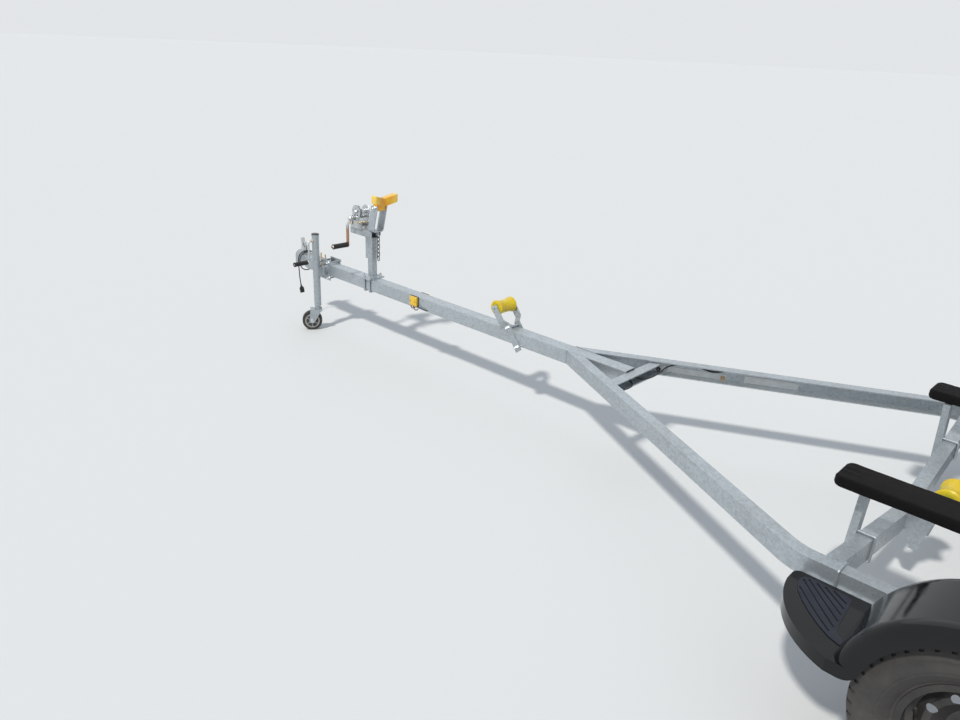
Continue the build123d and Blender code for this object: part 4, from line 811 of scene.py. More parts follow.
class TRAILER_OT_lead(bpy.types.Operator):
    """The wiring lead on its smooth line"""
    bl_idname = "trailer.lead"
    bl_label = "Wiring lead"

    def execute(self, context):
        sizes = context.scene.trailer_sizes
        calm()
        curve = bpy.data.curves.new("wiring_cord", "CURVE")
        curve.dimensions = "3D"
        spline = curve.splines.new("NURBS")
        spline.points.add(len(LEAD_ROUTE) - 1)
        for point, place in zip(spline.points, LEAD_ROUTE):
            point.co = (*place, 1.0)
        spline.order_u = 3
        spline.use_endpoint_u = True
        spline.resolution_u = 8
        curve.bevel_depth = sizes.lead_bore / 2
        curve.bevel_resolution = 4
        curve.use_fill_caps = True
        cord = bpy.data.objects.new("wiring_cord", curve)
        context.collection.objects.link(cord)
        cord.data.materials.append(bpy.data.materials["cable sheath"])
        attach(cord, "frame")
        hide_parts("wiring_lead")
        tip, before = Vector(LEAD_ROUTE[-1]), Vector(LEAD_ROUTE[-2])
        down = (tip - before).normalized()
        ridges = [set_at(block((0.0315, 0.0145, 0.0024), (0, 0, 0), 0.0011, 3),
                         tip + down * along, down, math.pi / 2) for along in (0.020, 0.0255, 0.031, 0.0365)]
        boot = turned([(0.0036, -0.012), (0.0046, -0.012), (0.0049, -0.009), (0.0045, -0.007), (0.0053, -0.004),
                       (0.0049, -0.002), (0.0058, 0.002), (0.0050, 0.004), (0.0036, 0.004), (0.0036, -0.012)], 24)
        set_at(boot, tip, down)
        ridges = finish_piece(merged(boot, *ridges), "plug_ridges", "frame", "soft rubber")
        return {"FINISHED"}


def softened(name, width):
    """Copy of a CAD piece with its sharp edges rounded, as moulding leaves them."""
    node = NODES[name]
    twin = bpy.data.objects.new(name + "_moulded", node.data.copy())
    bpy.context.collection.objects.link(twin)
    twin.matrix_world = node.matrix_world.copy()
    settle(twin)
    edit()
    bpy.ops.mesh.remove_doubles(threshold=0.00005)
    bpy.ops.mesh.dissolve_limited(angle_limit=math.radians(3))
    done()
    edges = twin.modifiers.new("edges", "BEVEL")
    edges.width, edges.segments, edges.angle_limit = width, 4, math.radians(32)
    bpy.ops.object.modifier_apply(modifier="edges")
    return twin


class TRAILER_OT_bow_stop(bpy.types.Operator):
    """Moulded bow stop with rounded edges"""
    bl_idname = "trailer.bow_stop"
    bl_label = "Bow stop"

    def execute(self, context):
        piece = finish_piece(softened("bow_stop", 0.0050), "bow_stop_moulded", "frame", "orange poly", 50)
        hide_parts("bow_stop")
        return {"FINISHED"}


class TRAILER_OT_bunks(bpy.types.Operator):
    """Carpet wrapped round the bunk boards"""
    bl_idname = "trailer.bunks"
    bl_label = "Carpeted bunks"

    def execute(self, context):
        for side, name in ((1, "left"), (-1, "right")):
            low, high = (Vector(p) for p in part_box("bunk_" + name))
            middle, size = (low + high) / 2, high - low
            calm()
            bpy.ops.mesh.primitive_cube_add(size=1.0, location=middle,
                                            scale=(size.x - 0.003, size.y - 0.003, size.z - 0.002))
            board = settle(context.object)
            edit("DESELECT")
            bpy.ops.object.mode_set(mode="OBJECT")
            for line in board.data.edges:
                first, last = (board.data.vertices[k].co for k in line.vertices)
                line.select = abs(first.z - last.z) > size.z / 2
            bpy.ops.object.mode_set(mode="EDIT")
            bpy.ops.mesh.select_mode(type="EDGE")
            bpy.ops.mesh.bevel(offset=0.024, segments=8, affect="EDGES")
            done()
            for kind, values in (("BEVEL", {"width": 0.0110, "segments": 5, "angle_limit": math.radians(50)}),
                                 ("REMESH", {"mode": "VOXEL", "voxel_size": 0.0055})):
                step = board.modifiers.new(kind, kind)
                for key, value in values.items():
                    setattr(step, key, value)
                bpy.ops.object.modifier_apply(modifier=kind)
            for vertex in board.data.vertices:
                co = vertex.co
                out = Vector((0, co.y - middle.y, (co.z - middle.z) * 3)).normalized()
                swell = noise.noise(Vector((co.x * 5.5, co.y * 14 + side * 3, co.z * 14))) * 0.0016
                swell += noise.noise(co * 60) * 0.0007
                for end, sign in ((low.x, -1), (high.x, 1)):
                    near = max(0.0, 1.0 - abs(co.x - end) / 0.085)
                    around = math.atan2((co.z - middle.z) * 2.2, co.y - middle.y)
                    swell += near * 0.0015 * math.cos(around * 9 + sign)
                vertex.co = co + out * min(swell, 0.0012)
            smooth = board.modifiers.new("settle", "SMOOTH")
            smooth.factor, smooth.iterations = 0.5, 2
            only(board)
            bpy.ops.object.modifier_apply(modifier="settle")
            seam = block((size.x - 0.16, 0.046, 0.0030), (middle.x, middle.y - side * 0.024, low.z + 0.0010),
                         0.0012, 2)
            tacks = turned([(0, 0), (0.0062, 0), (0.0056, 0.0012), (0.0030, 0.0019), (0, 0.0020)], 16)
            tacks = copies(tacks, [((x, middle.y - side * 0.020, low.z - 0.0004), (0, 0, -1), 0)
                                   for x in (low.x + 0.12 + 0.16 * k for k in range(11))])
            tacks = finish_piece(tacks, "bunk_staples_" + name, "frame", "zinc plate")
            piece = finish_piece(merged(board, seam), "bunk_carpet_" + name, "frame",
                                 "bunk carpet", 60)
            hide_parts("bunk_" + name)
        return {"FINISHED"}


PAD_OUTLINE = [(-1.042, 0.876), (-1.044, 0.905), (-1.061, 0.940), (-1.086, 0.972), (-1.120, 1.007),
               (-1.158, 1.040), (-1.196, 1.066), (-1.228, 1.078), (-1.250, 1.074), (-1.243, 1.064),
               (-1.206, 1.034), (-1.200, 1.000), (-1.192, 0.905), (-1.187, 0.866), (-1.170, 0.858),
               (-1.064, 0.856), (-1.048, 0.862)]
PAD_GROOVES = [((-1.056, 0.918), (-1.125, 0.992), (-1.190, 1.046)),
               ((-1.050, 0.876), (-1.125, 0.957), (-1.193, 1.021)),
               ((-1.062, 0.865), (-1.129, 0.930), (-1.192, 0.988)),
               ((-1.086, 0.865), (-1.136, 0.909), (-1.188, 0.955)),
               ((-1.110, 0.865), (-1.148, 0.895), (-1.185, 0.924)),
               ((-1.134, 0.864), (-1.158, 0.880), (-1.182, 0.896))]


class TRAILER_OT_treads(bpy.types.Operator):
    """Grooved tread pads on the fender steps, and the nuts under them"""
    bl_idname = "trailer.treads"
    bl_label = "Step treads"

    def execute(self, context):
        calm()
        curve = bpy.data.curves.new("pad", "CURVE")
        curve.dimensions = "2D"
        curve.fill_mode = "BOTH"
        spline = curve.splines.new("POLY")
        spline.points.add(len(PAD_OUTLINE) - 1)
        for point, (x, y) in zip(spline.points, PAD_OUTLINE):
            point.co = (x, y, 0, 1)
        spline.use_cyclic_u = True
        curve.extrude = 0.0013
        pad = bpy.data.objects.new("pad", curve)
        context.collection.objects.link(pad)
        only(pad)
        bpy.ops.object.convert(target="MESH")
        pad = context.object
        pad.location.z = 0.3963
        settle(pad)
        edit()
        bpy.ops.mesh.remove_doubles(threshold=0.0001)
        bpy.ops.mesh.normals_make_consistent(inside=False)
        done()
        cuts = merged(*[tube_along([(x, y, 0.3968) for x, y in line], 0.0031, 10) for line in PAD_GROOVES])
        carve = pad.modifiers.new("grooves", "BOOLEAN")
        carve.operation = "DIFFERENCE"
        carve.solver = "EXACT"
        carve.use_self = True
        carve.object = cuts
        only(pad)
        bpy.ops.object.modifier_apply(modifier="grooves")
        bpy.data.objects.remove(cuts)
        rear = mirrored(pad, "X", AXLE_X)
        port = merged(pad, rear)
        starboard = mirrored(port, "Y")
        finish_piece(merged(port, starboard), "step_treads", "frame", "tread plastic", 30)
        nut = hex_nut(0.0143, 0.0080, 0.0110, 0.0038, 0.006)
        places = []
        for side in (-1, 1):
            for end in (-1, 1):
                for y in (0.884, 0.964):
                    places.append(((AXLE_X + end * 0.477, side * y, 0.3845), (0, 0, -1), y))
        finish_piece(copies(nut, places), "step_nuts", "frame", "zinc plate")
        return {"FINISHED"}


class TRAILER_OT_tyres(bpy.types.Operator):
    """Tyres with ribs, shoulder blocks and moulded sidewall rings"""
    bl_idname = "trailer.tyres"
    bl_label = "Tyres"

    def execute(self, context):
        half = [(0.1667, 0.0300), (0.1667, 0.0590), (0.1800, 0.0600), (0.1830, 0.0625), (0.1860, 0.0625),
                (0.1900, 0.0680), (0.2000, 0.0755), (0.2130, 0.0838), (0.2150, 0.0850), (0.2180, 0.0850),
                (0.2200, 0.0868), (0.2290, 0.0885), (0.2400, 0.0880), (0.2520, 0.0858), (0.2535, 0.0866),
                (0.2560, 0.0860), (0.2640, 0.0826), (0.2720, 0.0796), (0.2800, 0.0762), (0.2870, 0.0712),
                (0.2905, 0.0650), (0.2925, 0.0590), (0.2868, 0.0575), (0.2866, 0.0520), (0.2936, 0.0500),
                (0.2956, 0.0270), (0.2896, 0.0255), (0.2896, 0.0195), (0.2964, 0.0180), (0.2976, 0.0055),
                (0.2914, 0.0040)]
        ring = half + [(r, -w) for r, w in reversed(half)] + [half[0]]
        master = turned(ring, 144)
        edit("DESELECT")

        def block_gap(centre, _):
            turn = math.atan2(centre.y, centre.x) * 144 / (2 * math.pi)
            radius = math.hypot(centre.x, centre.y)
            step = int(math.floor(turn + 0.001)) + (1 if centre.z > 0 else 2)
            return step % 3 == 0 and radius > 0.268 and abs(centre.z) > 0.059
        pick(block_gap)
        bpy.ops.mesh.extrude_region_shrink_fatten(TRANSFORM_OT_shrink_fatten={"value": -0.0048})

        def sipe(centre, _):
            turn = math.atan2(centre.y, centre.x) * 144 / (2 * math.pi)
            radius = math.hypot(centre.x, centre.y)
            return int(math.floor(turn + 0.001)) % 4 == (0 if centre.z > 0 else 2) and radius > 0.2925 \
                and 0.026 < abs(centre.z) < 0.051
        pick(sipe)
        bpy.ops.mesh.inset(thickness=0.0035, use_individual=True)
        bpy.ops.mesh.extrude_region_shrink_fatten(TRANSFORM_OT_shrink_fatten={"value": -0.0035})
        done()
        for side, name in ((1, "left"), (-1, "right")):
            twin = set_at(twin_of(master), (AXLE_X, side * WHEEL_Y, AXLE_Z), (0, side, 0))
            piece = finish_piece(twin, "tyre_detail_" + name, "wheel_" + name, "tyre rubber", 40)
            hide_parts("tyre_" + name)
        bpy.data.objects.remove(master)
        return {"FINISHED"}


class TRAILER_OT_wheel_fittings(bpy.types.Operator):
    """Lug nuts, valve stems and bearing cap rims"""
    bl_idname = "trailer.wheel_fittings"
    bl_label = "Wheel fittings"

    def execute(self, context):
        for side, name in ((1, "left"), (-1, "right")):
            face = side * WHEEL_Y
            nut = turned([(0.0068, 0.0), (0.0078, 0.0), (0.0108, 0.0060), (0.0108, 0.0190), (0.0088, 0.0208),
                          (0.0066, 0.0208), (0.0066, 0.0190), (0.0068, 0.0)], 6)
            places = []
            for k in range(5):
                turn = 2 * math.pi * k / 5
                places.append(((AXLE_X + 0.05715 * math.cos(turn), face, AXLE_Z + 0.05715 * math.sin(turn)),
                               (0, side, 0), turn))
            nuts = copies(nut, places)
            rim = turned([(0.0285, 0.0), (0.0345, 0.0), (0.0345, 0.0035), (0.0325, 0.0055), (0.0312, 0.0055),
                          (0.0312, 0.0080), (0.0285, 0.0080), (0.0285, 0.0)], 40)
            set_at(rim, (AXLE_X, face + side * 0.012, AXLE_Z), (0, side, 0))
            cap = turned([(0.0, 0.0), (0.0235, 0.0), (0.0240, 0.0020), (0.0100, 0.0040), (0.0090, 0.0030),
                          (0.0035, 0.0030), (0.0035, 0.0085), (0.0, 0.0090)], 40)
            set_at(cap, (AXLE_X, face + side * 0.047, AXLE_Z), (0, side, 0))
            finish_piece(merged(nuts, rim, cap), "wheel_nuts_" + name, "wheel_" + name, "zinc plate")
            stem = turned([(0, 0), (0.0080, 0), (0.0078, 0.0040), (0.0050, 0.0070), (0.0046, 0.0300),
                           (0.0050, 0.0310), (0.0050, 0.0400), (0.0040, 0.0420), (0, 0.0422)], 20)
            set_at(stem, (AXLE_X + 0.1440, face + side * 0.010, AXLE_Z), (-0.35, side, 0))
            finish_piece(stem, "valve_" + name, "wheel_" + name, "soft rubber")
        return {"FINISHED"}


class TRAILER_OT_fastenings(bpy.types.Operator):
    """Nuts and bolt heads of the frame, stand, springs and brackets"""
    bl_idname = "trailer.fastenings"
    bl_label = "Fastenings"

    def execute(self, context):
        small, medium, heads, big = [], [], [], []
        for x in CROSS:
            face = x + 0.0254
            slope = math.atan2(0.446 - 0.293, 0.7774)
            for side in (-1, 1):
                plate = cross_top(0.774) - 0.0762 * math.hypot(1, math.tan(slope)) - 0.0083
                for y in (0.773, 0.833):
                    small.append(((x - 0.0314, side * y, plate), (0, 0, -1), 0.3))
                base = Vector((face + 0.005, side * 0.510, cross_top(0.510)))
                run = Vector((0, side * math.cos(slope), math.sin(slope)))
                lift = Vector((0, -side * math.sin(slope), math.cos(slope)))
                for up in (0.0056, -0.0818):
                    medium.append((base - run * 0.025 + lift * up, (1, 0, 0), 0.2))
        # Bolt heads under the bunks, made black so that they also serve as painted shade under the bunk.
        lag = hex_nut(0.0160, 0.0075, 0.0135)
        lags = copies(lag, [((x + 0.0379, s * y, 0.5546), (0, 0, -1), y * 9)
                            for x in CROSS for s in (-1, 1) for y in (0.449, 0.494)])
        finish_piece(lags, "bunk_lag_bolts", "frame", "black paint")
        for side in (-1, 1):
            for end in (-1, 1):
                for dy in (-0.030, 0.030):
                    medium.append(((AXLE_X + end * 0.0334, side * 0.803 + dy, 0.2231), (0, 0, -1), 0.5))
                    big.append(((AXLE_X + end * 0.3392, side * 0.803 + dy * 1.02, 0.3352), (0, dy, 0), 0.4))
        for dx in (-0.025, 0.025):
            for y in (-0.044, 0.044):
                medium.append(((2.088 + dx, y, 0.450), (0, 0, 1), 0.4 + dx * 9))
        corners = [(dx, dz, JACK[0] + dx, TONGUE_MID + dz) for dx in (-0.040, 0.040) for dz in (-0.052, 0.052)]
        for dx, dz, x, z in corners:
            medium.append(((x, 0.0441, z), (0, 1, 0), dx * 20))
            heads.append(((x, -0.0442, z), (0, -1, 0), dz * 20))
        backing = block((0.106, 0.0060, 0.132), (JACK[0], -0.0412, TONGUE_MID), 0.0020, 2)
        shanks = [tube_along([(x, -0.046, z), (x, 0.046, z)], 0.0050, 8) for _, _, x, z in corners]
        finish_piece(merged(backing, *shanks), "jack_backing", "frame", "galvanized jack")
        upright = copies(hex_nut(0.0160, 0.0095, 0.0125, 0.0050, 0.034),
                         [((2.586, 0.004, 0.442), (0, 0, 1), 0.3), ((2.634, 0.004, 0.4465), (0, 0, 1), 0.8)])
        finish_piece(upright, "tongue_bolts", "frame", "yellow zinc")
        for x in (2.632, 2.735):
            heads.append(((x, 0.0429, 0.404), (0, 1, 0), 0.3))
            medium.append(((x, -0.0429, 0.404), (0, -1, 0), 0.1))
        for x, y in ((2.150, 0.017), (2.150, -0.017), (2.240, 0.017), (2.240, -0.017)):
            heads.append(((x, y, 0.746), (0, 0, 1), x * 7))
        heads.append(((2.072, 0.0, 0.748), (0, 0, 1), 0.6))
        for side in (-1, 1):
            medium.append(((2.013, side * 0.039, 0.895), (0, side, 0), 0.35))
            for z in (0.4486, 0.3592):
                x = 0.970 - (0.543 - z) / math.tan(math.atan2(0.543 - 0.3538, 0.150))
                medium.append(((x, side * 0.0441, z), (0, side, 0), 0.5))
        sets = [copies(hex_nut(*form), places) for form, places in (
            ((0.0143, 0.0090, 0.0110, 0.0038, 0.006), small),
            ((0.0175, 0.0105, 0.0135, 0.0048, 0.008), medium),
            ((0.0175, 0.0078, 0.0130), heads), ((0.0240, 0.0085, 0.0155), big))]
        finish_piece(merged(*sets), "frame_fastenings", "frame", "zinc plate", 30)
        return {"FINISHED"}


class TRAILER_OT_welds(bpy.types.Operator):
    """Weld beads where the frame's pieces meet"""
    bl_idname = "trailer.welds"
    bl_label = "Weld beads"

    def execute(self, context):
        slope = math.tan(RAIL_ANGLE)

        def web(x):
            return TONGUE_HALF + (RAIL_TIP - x) * slope - 0.0062
        beads = []
        for s in (-1, 1):
            for z in (0.4420, 0.3722):
                beads.append(weld([(0.402, s * 0.0388, z), (0.500, s * 0.0388, z)], 0.0030))
            beads.append(weld([(0.5055, s * 0.0392, 0.4415), (0.5055, s * 0.0392, 0.3730)], 0.0034))
            corners = [(0.1535, 0.432), (0.1010, 0.4325), (0.1005, 0.382), (0.1525, 0.3815), (0.1535, 0.432)]
            beads.append(weld([(x, s * web(x), z) for x, z in corners], 0.0032))
            beads.append(weld([(0.1525, s * 0.0330, 0.4325), (0.1525, s * 0.0375, 0.3830)], 0.0026))
        for x in CROSS:
            for s in (-1, 1):
                top = cross_top(0.0)
                beads.append(weld([(x - 0.030, 0.0, top + 0.0004), (x + 0.030, 0.0, top + 0.0004)], 0.0022))
        for x0, x1, y, z in ((2.064, 2.108, 0.021, 0.4505), (2.0615, 2.1245, 0.0255, 0.6985)):
            beads.append(weld([(x0, -y, z), (x1, -y, z), (x1, y, z), (x0, y, z), (x0, -y, z)], 0.0028))
        finish_piece(merged(*beads), "weld_beads", "frame", "weld bead", 50)
        left, right, low, high = JACK[0] - 0.026, JACK[0] + 0.026, 0.374, 0.434
        rings = [weld([(x0, 0.0775, z0), (x1, 0.0775, z1)], 0.0024) for x0, z0, x1, z1 in (
            (left, low, left, high), (right, low, right, high),
            (left, high, right, high), (left, low, right, low))]
        finish_piece(merged(*rings), "jack_weld", "jack", "weld bead", 50)
        return {"FINISHED"}


class TRAILER_OT_winch(bpy.types.Operator):
    """Rolled reel sides, ribbed grip, pawl and shaft nuts of the winch"""
    bl_idname = "trailer.winch"
    bl_label = "Winch fittings"

    def execute(self, context):
        x, z = DRUM
        sides = []
        for s in (-1, 1):
            side = turned([(0.0145, 0.0), (0.0335, 0.0), (0.0365, 0.0008), (0.0376, 0.0022), (0.0370, 0.0030),
                           (0.0345, 0.0016), (0.0230, 0.0012), (0.0200, 0.0034), (0.0145, 0.0038),
                           (0.0145, 0.0)], 64)
            set_at(side, (x, s * 0.0283, z), (0, s, 0))
            sides.append(side)
        seam = turned([(0.0141, -0.0250), (0.0150, -0.0245), (0.0150, 0.0245), (0.0141, 0.0250)], 40)
        set_at(seam, (x, 0, z), (0, 1, 0))
        finish_piece(merged(seam, *sides), "reel_sides", "winch_reel", "zinc plate")

        nut = hex_nut(0.0190, 0.0080, 0.0135, 0.0060, 0.004)
        reel = copies(nut, [((x, 0.0506, z), (0, 1, 0), 0.2), ((x, -0.0395, z), (0, -1, 0), 0.5)])
        ring = turned([(0.0095, 0), (0.0145, 0), (0.0145, 0.0022), (0.0130, 0.0030), (0.0095, 0.0030),
                       (0.0095, 0)], 28)
        set_at(ring, (x, 0.0388, z), (0, 1, 0))
        finish_piece(merged(reel, ring), "reel_nuts", "winch_reel", "zinc plate")

        px, pz = PINION
        grip = [(0.0062, 0.0), (0.0150, 0.0), (0.0162, 0.0015), (0.0162, 0.0045), (0.0152, 0.0070)]
        for k in range(10):
            low = 0.0120 + k * 0.0088
            grip += [(0.0152, low), (0.0146, low + 0.0012), (0.0146, low + 0.0026), (0.0154, low + 0.0040)]
        grip += [(0.0154, 0.1015), (0.0162, 0.1040), (0.0160, 0.1075), (0.0140, 0.1090), (0.0064, 0.1090)]
        sleeve = turned(grip, 40)
        set_at(sleeve, (px, 0.0925, pz - 0.162), (0, 1, 0))
        finish_piece(sleeve, "winch_grip", "winch_handle", "soft rubber", 40)
        nut = hex_nut(0.0175, 0.0085, 0.0120, 0.0058, 0.003)
        set_at(nut, (px, 0.0680, pz), (0, 1, 0), 0.3)
        cap = turned([(0.0, 0.0), (0.0100, 0.0), (0.0100, 0.0012), (0.0072, 0.0040), (0.0, 0.0052)], 24)
        set_at(cap, (px, 0.2010, pz - 0.162), (0, 1, 0))
        finish_piece(merged(nut, cap), "crank_nut", "winch_handle", "zinc plate")

        pivot = Vector((x + 0.0560, 0.0380, z - 0.0800))
        pawl = block((0.0090, 0.0040, 0.0270), pivot + Vector((-0.0015, 0.0030, 0.0100)), 0.0016, 3)
        edit()
        bpy.ops.transform.rotate(value=0.22, orient_axis="Y", center_override=pivot)
        done()
        boss = turned([(0, 0), (0.0080, 0), (0.0080, 0.0054), (0.0062, 0.0074), (0, 0.0076)], 24)
        set_at(boss, pivot, (0, 1, 0))
        spring = tube_along([pivot + Vector((0.0092 * math.cos(t * 0.8), 0.0014 + t * 0.0002,
                                             0.0092 * math.sin(t * 0.8))) for t in range(18)], 0.0008, 4)
        lip = block((0.0090, 0.0110, 0.0028), pivot + Vector((-0.0040, 0.0070, 0.0225)), 0.0010, 2)
        base = hex_nut(0.0160, 0.0070, 0.0120)
        bolts = copies(base, [((x - 0.018, 0.0, 0.746), (0, 0, 1), 0.2), ((x + 0.052, 0.0, 0.746), (0, 0, 1), 0.7)])
        rod = turned([(0, -0.0395), (0.0050, -0.0395), (0.0050, 0.0395), (0, 0.0395)], 16)
        set_at(rod, (x - 0.022, 0, 0.782), (0, 1, 0))
        end = hex_nut(0.0130, 0.0060, 0.0095)
        ends = copies(end, [((x - 0.022, s * 0.0382, 0.782), (0, s, 0), 0.2) for s in (-1, 1)])
        finish_piece(merged(pawl, boss, spring, lip, bolts, rod, ends), "winch_pawl", "frame",
                     "yellow zinc")
        return {"FINISHED"}


class TRAILER_OT_jack(bpy.types.Operator):
    """Cap, grip, pull pin and collars of the tongue jack and its wheel"""
    bl_idname = "trailer.jack"
    bl_label = "Jack fittings"

    def execute(self, context):
        x, y = JACK
        cap = turned([(0.0150, 0.6465), (0.0236, 0.6470), (0.0250, 0.6480), (0.0252, 0.6510), (0.0238, 0.6532),
                      (0.0205, 0.6538), (0.0190, 0.6526), (0.0060, 0.6524), (0, 0.6523)], 48)
        set_at(cap, (x, y, 0))
        finish_piece(cap, "jack_cap", "jack", "cap plastic")
        grip = [(0.0058, 0.0), (0.0140, 0.0), (0.0152, 0.0016), (0.0150, 0.0060), (0.0138, 0.0090)]
        for k in range(8):
            low = 0.0120 + k * 0.0094
            grip += [(0.0138, low), (0.0133, low + 0.0012), (0.0133, low + 0.0028), (0.0140, low + 0.0042)]
        grip += [(0.0141, 0.0900), (0.0150, 0.0925), (0.0146, 0.0958), (0.0120, 0.0970), (0.0058, 0.0970)]
        sleeve = turned(grip, 40)
        set_at(sleeve, (x, 0.1825, 0.472), (0, 1, 0))
        finish_piece(sleeve, "jack_grip", "jack", "soft rubber", 40)
        collar = turned([(0.0056, 0), (0.0110, 0), (0.0110, 0.0060), (0.0096, 0.0074), (0.0056, 0.0074)], 28)
        set_at(collar, (x, y + 0.0225, 0.608), (0, 1, 0))
        pin = turned([(0, 0), (0.0105, 0), (0.0105, 0.0170), (0.0090, 0.0190), (0.0052, 0.0195), (0.0052, 0.0300),
                      (0.0080, 0.0306), (0.0080, 0.0350), (0.0066, 0.0362), (0, 0.0366)], 28)
        set_at(pin, (x, 0.0860, 0.4335))
        ring = tube_along([(x + 0.0130 * math.cos(t * math.pi / 8), 0.0860 + 0.006 * math.sin(t * math.pi / 8),
                            0.4740 + 0.0120 * math.sin(t * math.pi / 8)) for t in range(17)], 0.0013, 6)
        finish_piece(merged(collar, pin, ring), "jack_pull_pin", "jack", "yellow zinc")

        turn = math.radians(56)
        axis = Vector((-math.sin(turn), math.cos(turn), 0))
        centre = Vector((2.5574, 0.1452, 0.065))
        halves = []
        for s in (-1, 1):
            ring = turned([(0.0395, 0.0), (0.0480, 0.0), (0.0474, 0.0012), (0.0430, 0.0018), (0.0395, 0.0012)], 48)
            hub = turned([(0.0075, 0.0), (0.0190, 0.0), (0.0180, 0.0014), (0.0130, 0.0026), (0.0075, 0.0026)], 32)
            spoke = block((0.024, 0.0055, 0.0016), (0.0290, 0, 0.0006), 0.0006, 2)
            spokes = copies(spoke, [((0, 0, 0), (0, 0, 1), 2 * math.pi * k / 6) for k in range(6)])
            side = merged(ring, hub, spokes)
            set_at(side, centre + axis * s * 0.0210, axis * s)
            halves.append(side)
        finish_piece(merged(*halves), "caster_hub", "caster_roller", "wheel grey")
        nut = hex_nut(0.0175, 0.0080, 0.0130, 0.0050, 0.002)
        ends = copies(nut, [(centre + axis * s * 0.0291, axis * s, 0.3) for s in (-1, 1)])
        king = turned([(0, 0), (0.0150, 0), (0.0150, 0.0030), (0.0110, 0.0060), (0, 0.0062)], 32)
        set_at(king, (x, y, 0.1262), (0, 0, -1))
        finish_piece(merged(ends, king), "caster_nuts", "caster", "zinc plate")
        return {"FINISHED"}


class TRAILER_OT_coupler(bpy.types.Operator):
    """Pivot, spring and trigger of the coupler latch"""
    bl_idname = "trailer.coupler"
    bl_label = "Coupler fittings"

    def execute(self, context):
        low, high = (Vector(p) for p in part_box("coupler_latch"))
        pivot = Vector(((low.x + high.x) / 2 - 0.006, 0, low.z + 0.020))
        pin = turned([(0, -0.0172), (0.0085, -0.0172), (0.0090, -0.0150), (0.0090, -0.0125), (0.0055, -0.0122),
                      (0.0055, 0.0122), (0.0090, 0.0125), (0.0090, 0.0150), (0.0085, 0.0172), (0, 0.0172)], 28)
        set_at(pin, pivot, (0, 1, 0))
        cheeks = [block((0.030, 0.0030, 0.052), (pivot.x + 0.001, s * 0.0137, low.z + 0.026), 0.0012, 2)
                  for s in (-1, 1)]
        coil = tube_along([(pivot.x + 0.020 + 0.0045 * math.cos(t * 1.05), 0.0045 * math.sin(t * 1.05),
                            low.z + 0.018 + t * 0.0011) for t in range(30)], 0.0010, 4)
        trigger = block((0.010, 0.016, 0.034), (pivot.x - 0.012, 0, low.z + 0.060), 0.0025, 3)
        finish_piece(merged(pin, coil, trigger, *cheeks), "latch_fittings", "frame", "zinc plate")
        return {"FINISHED"}


class TRAILER_OT_harness(bpy.types.Operator):
    """Cables clipped in the rails, grommet and marker leads"""
    bl_idname = "trailer.harness"
    bl_label = "Wiring in the rails"

    def execute(self, context):
        runs, clips, legs = [], [], []
        for s in (-1, 1):
            points = [(0.200, s * 0.012, 0.404), (0.150, s * 0.016, 0.400), (0.094, s * 0.050, 0.392),
                      (0.080, s * 0.140, 0.402), (0.086, s * 0.215, 0.420)]
            points += [tuple(rail_point(s, along, 0.0095, z)) for along, z in (
                (0.520, 0.4315), (0.600, 0.4310), (0.632, 0.4180), (0.670, 0.4110), (0.706, 0.4170),
                (0.735, 0.4310), (0.90, 0.4320), (1.30, 0.4315), (1.60, 0.4320))]
            points += [(-1.010, s * 0.8165, 0.4315), (-1.060, s * 0.8180, 0.4320), (-1.400, s * 0.8182, 0.4310),
                       (-1.900, s * 0.8182, 0.4320), (-2.400, s * 0.8182, 0.4310), (-2.780, s * 0.8182, 0.4310),
                       (-2.850, s * 0.822, 0.420), (-2.872, s * 0.850, 0.406), (-2.884, s * 0.866, 0.400)]
            runs.append(tube_along(points, 0.0034, 8))
            for along in (0.565, 0.93, 1.25, 1.55):
                clip = block((0.012, 0.0100, 0.0150), (0, 0, 0), 0.0024, 3)
                clip.rotation_euler = (0, 0, -s * RAIL_ANGLE)
                clip.location = rail_point(s, along, 0.0088, 0.4305)
                clips.append(settle(clip))
            for x in (-1.30, -1.75, -2.15, -2.50):
                clips.append(block((0.012, 0.0095, 0.0150), (x, s * 0.8188, 0.4305), 0.0024, 3))
            tail = [(1.606, s * 0.047, 0.388), (1.598, s * 0.049, 0.383), (1.585, s * 0.0465, 0.381),
                    (1.560, s * 0.0450, 0.378), (1.538, s * 0.0440, 0.376), (1.530, s * 0.0400, 0.376),
                    (1.528, s * 0.0340, 0.376)]
            runs.append(tube_along(tail, 0.0030, 8))
            for line in (((1.664, 0.0470, 0.384), (1.662, 0.0495, 0.373), (1.657, 0.0480, 0.364),
                          (1.650, 0.0400, 0.3625), (1.646, 0.0300, 0.3635)),
                         ((1.641, 0.0470, 0.384), (1.637, 0.0510, 0.372), (1.628, 0.0500, 0.359),
                          (1.622, 0.0400, 0.3560), (1.620, 0.0300, 0.3600))):
                legs.append(tube_along([(x, s * y, z) for x, y, z in line], 0.0028, 8))
        finish_piece(merged(*runs), "rail_harness", "frame", "cable sheath", 40)
        finish_piece(merged(*legs), "marker_leads", "frame", "brown sleeve", 40)
        hole = turned([(0.0040, 0.0), (0.0105, 0.0), (0.0105, 0.0030), (0.0085, 0.0045), (0.0050, 0.0048),
                       (0.0040, 0.0030), (0.0040, 0.0)], 28)
        inward = Vector((-math.sin(RAIL_ANGLE), math.cos(RAIL_ANGLE), 0))
        set_at(hole, rail_point(-1, 0.416, 0.0052, 0.386), inward)
        finish_piece(merged(hole, *clips), "harness_clips", "frame", "soft rubber")
        return {"FINISHED"}


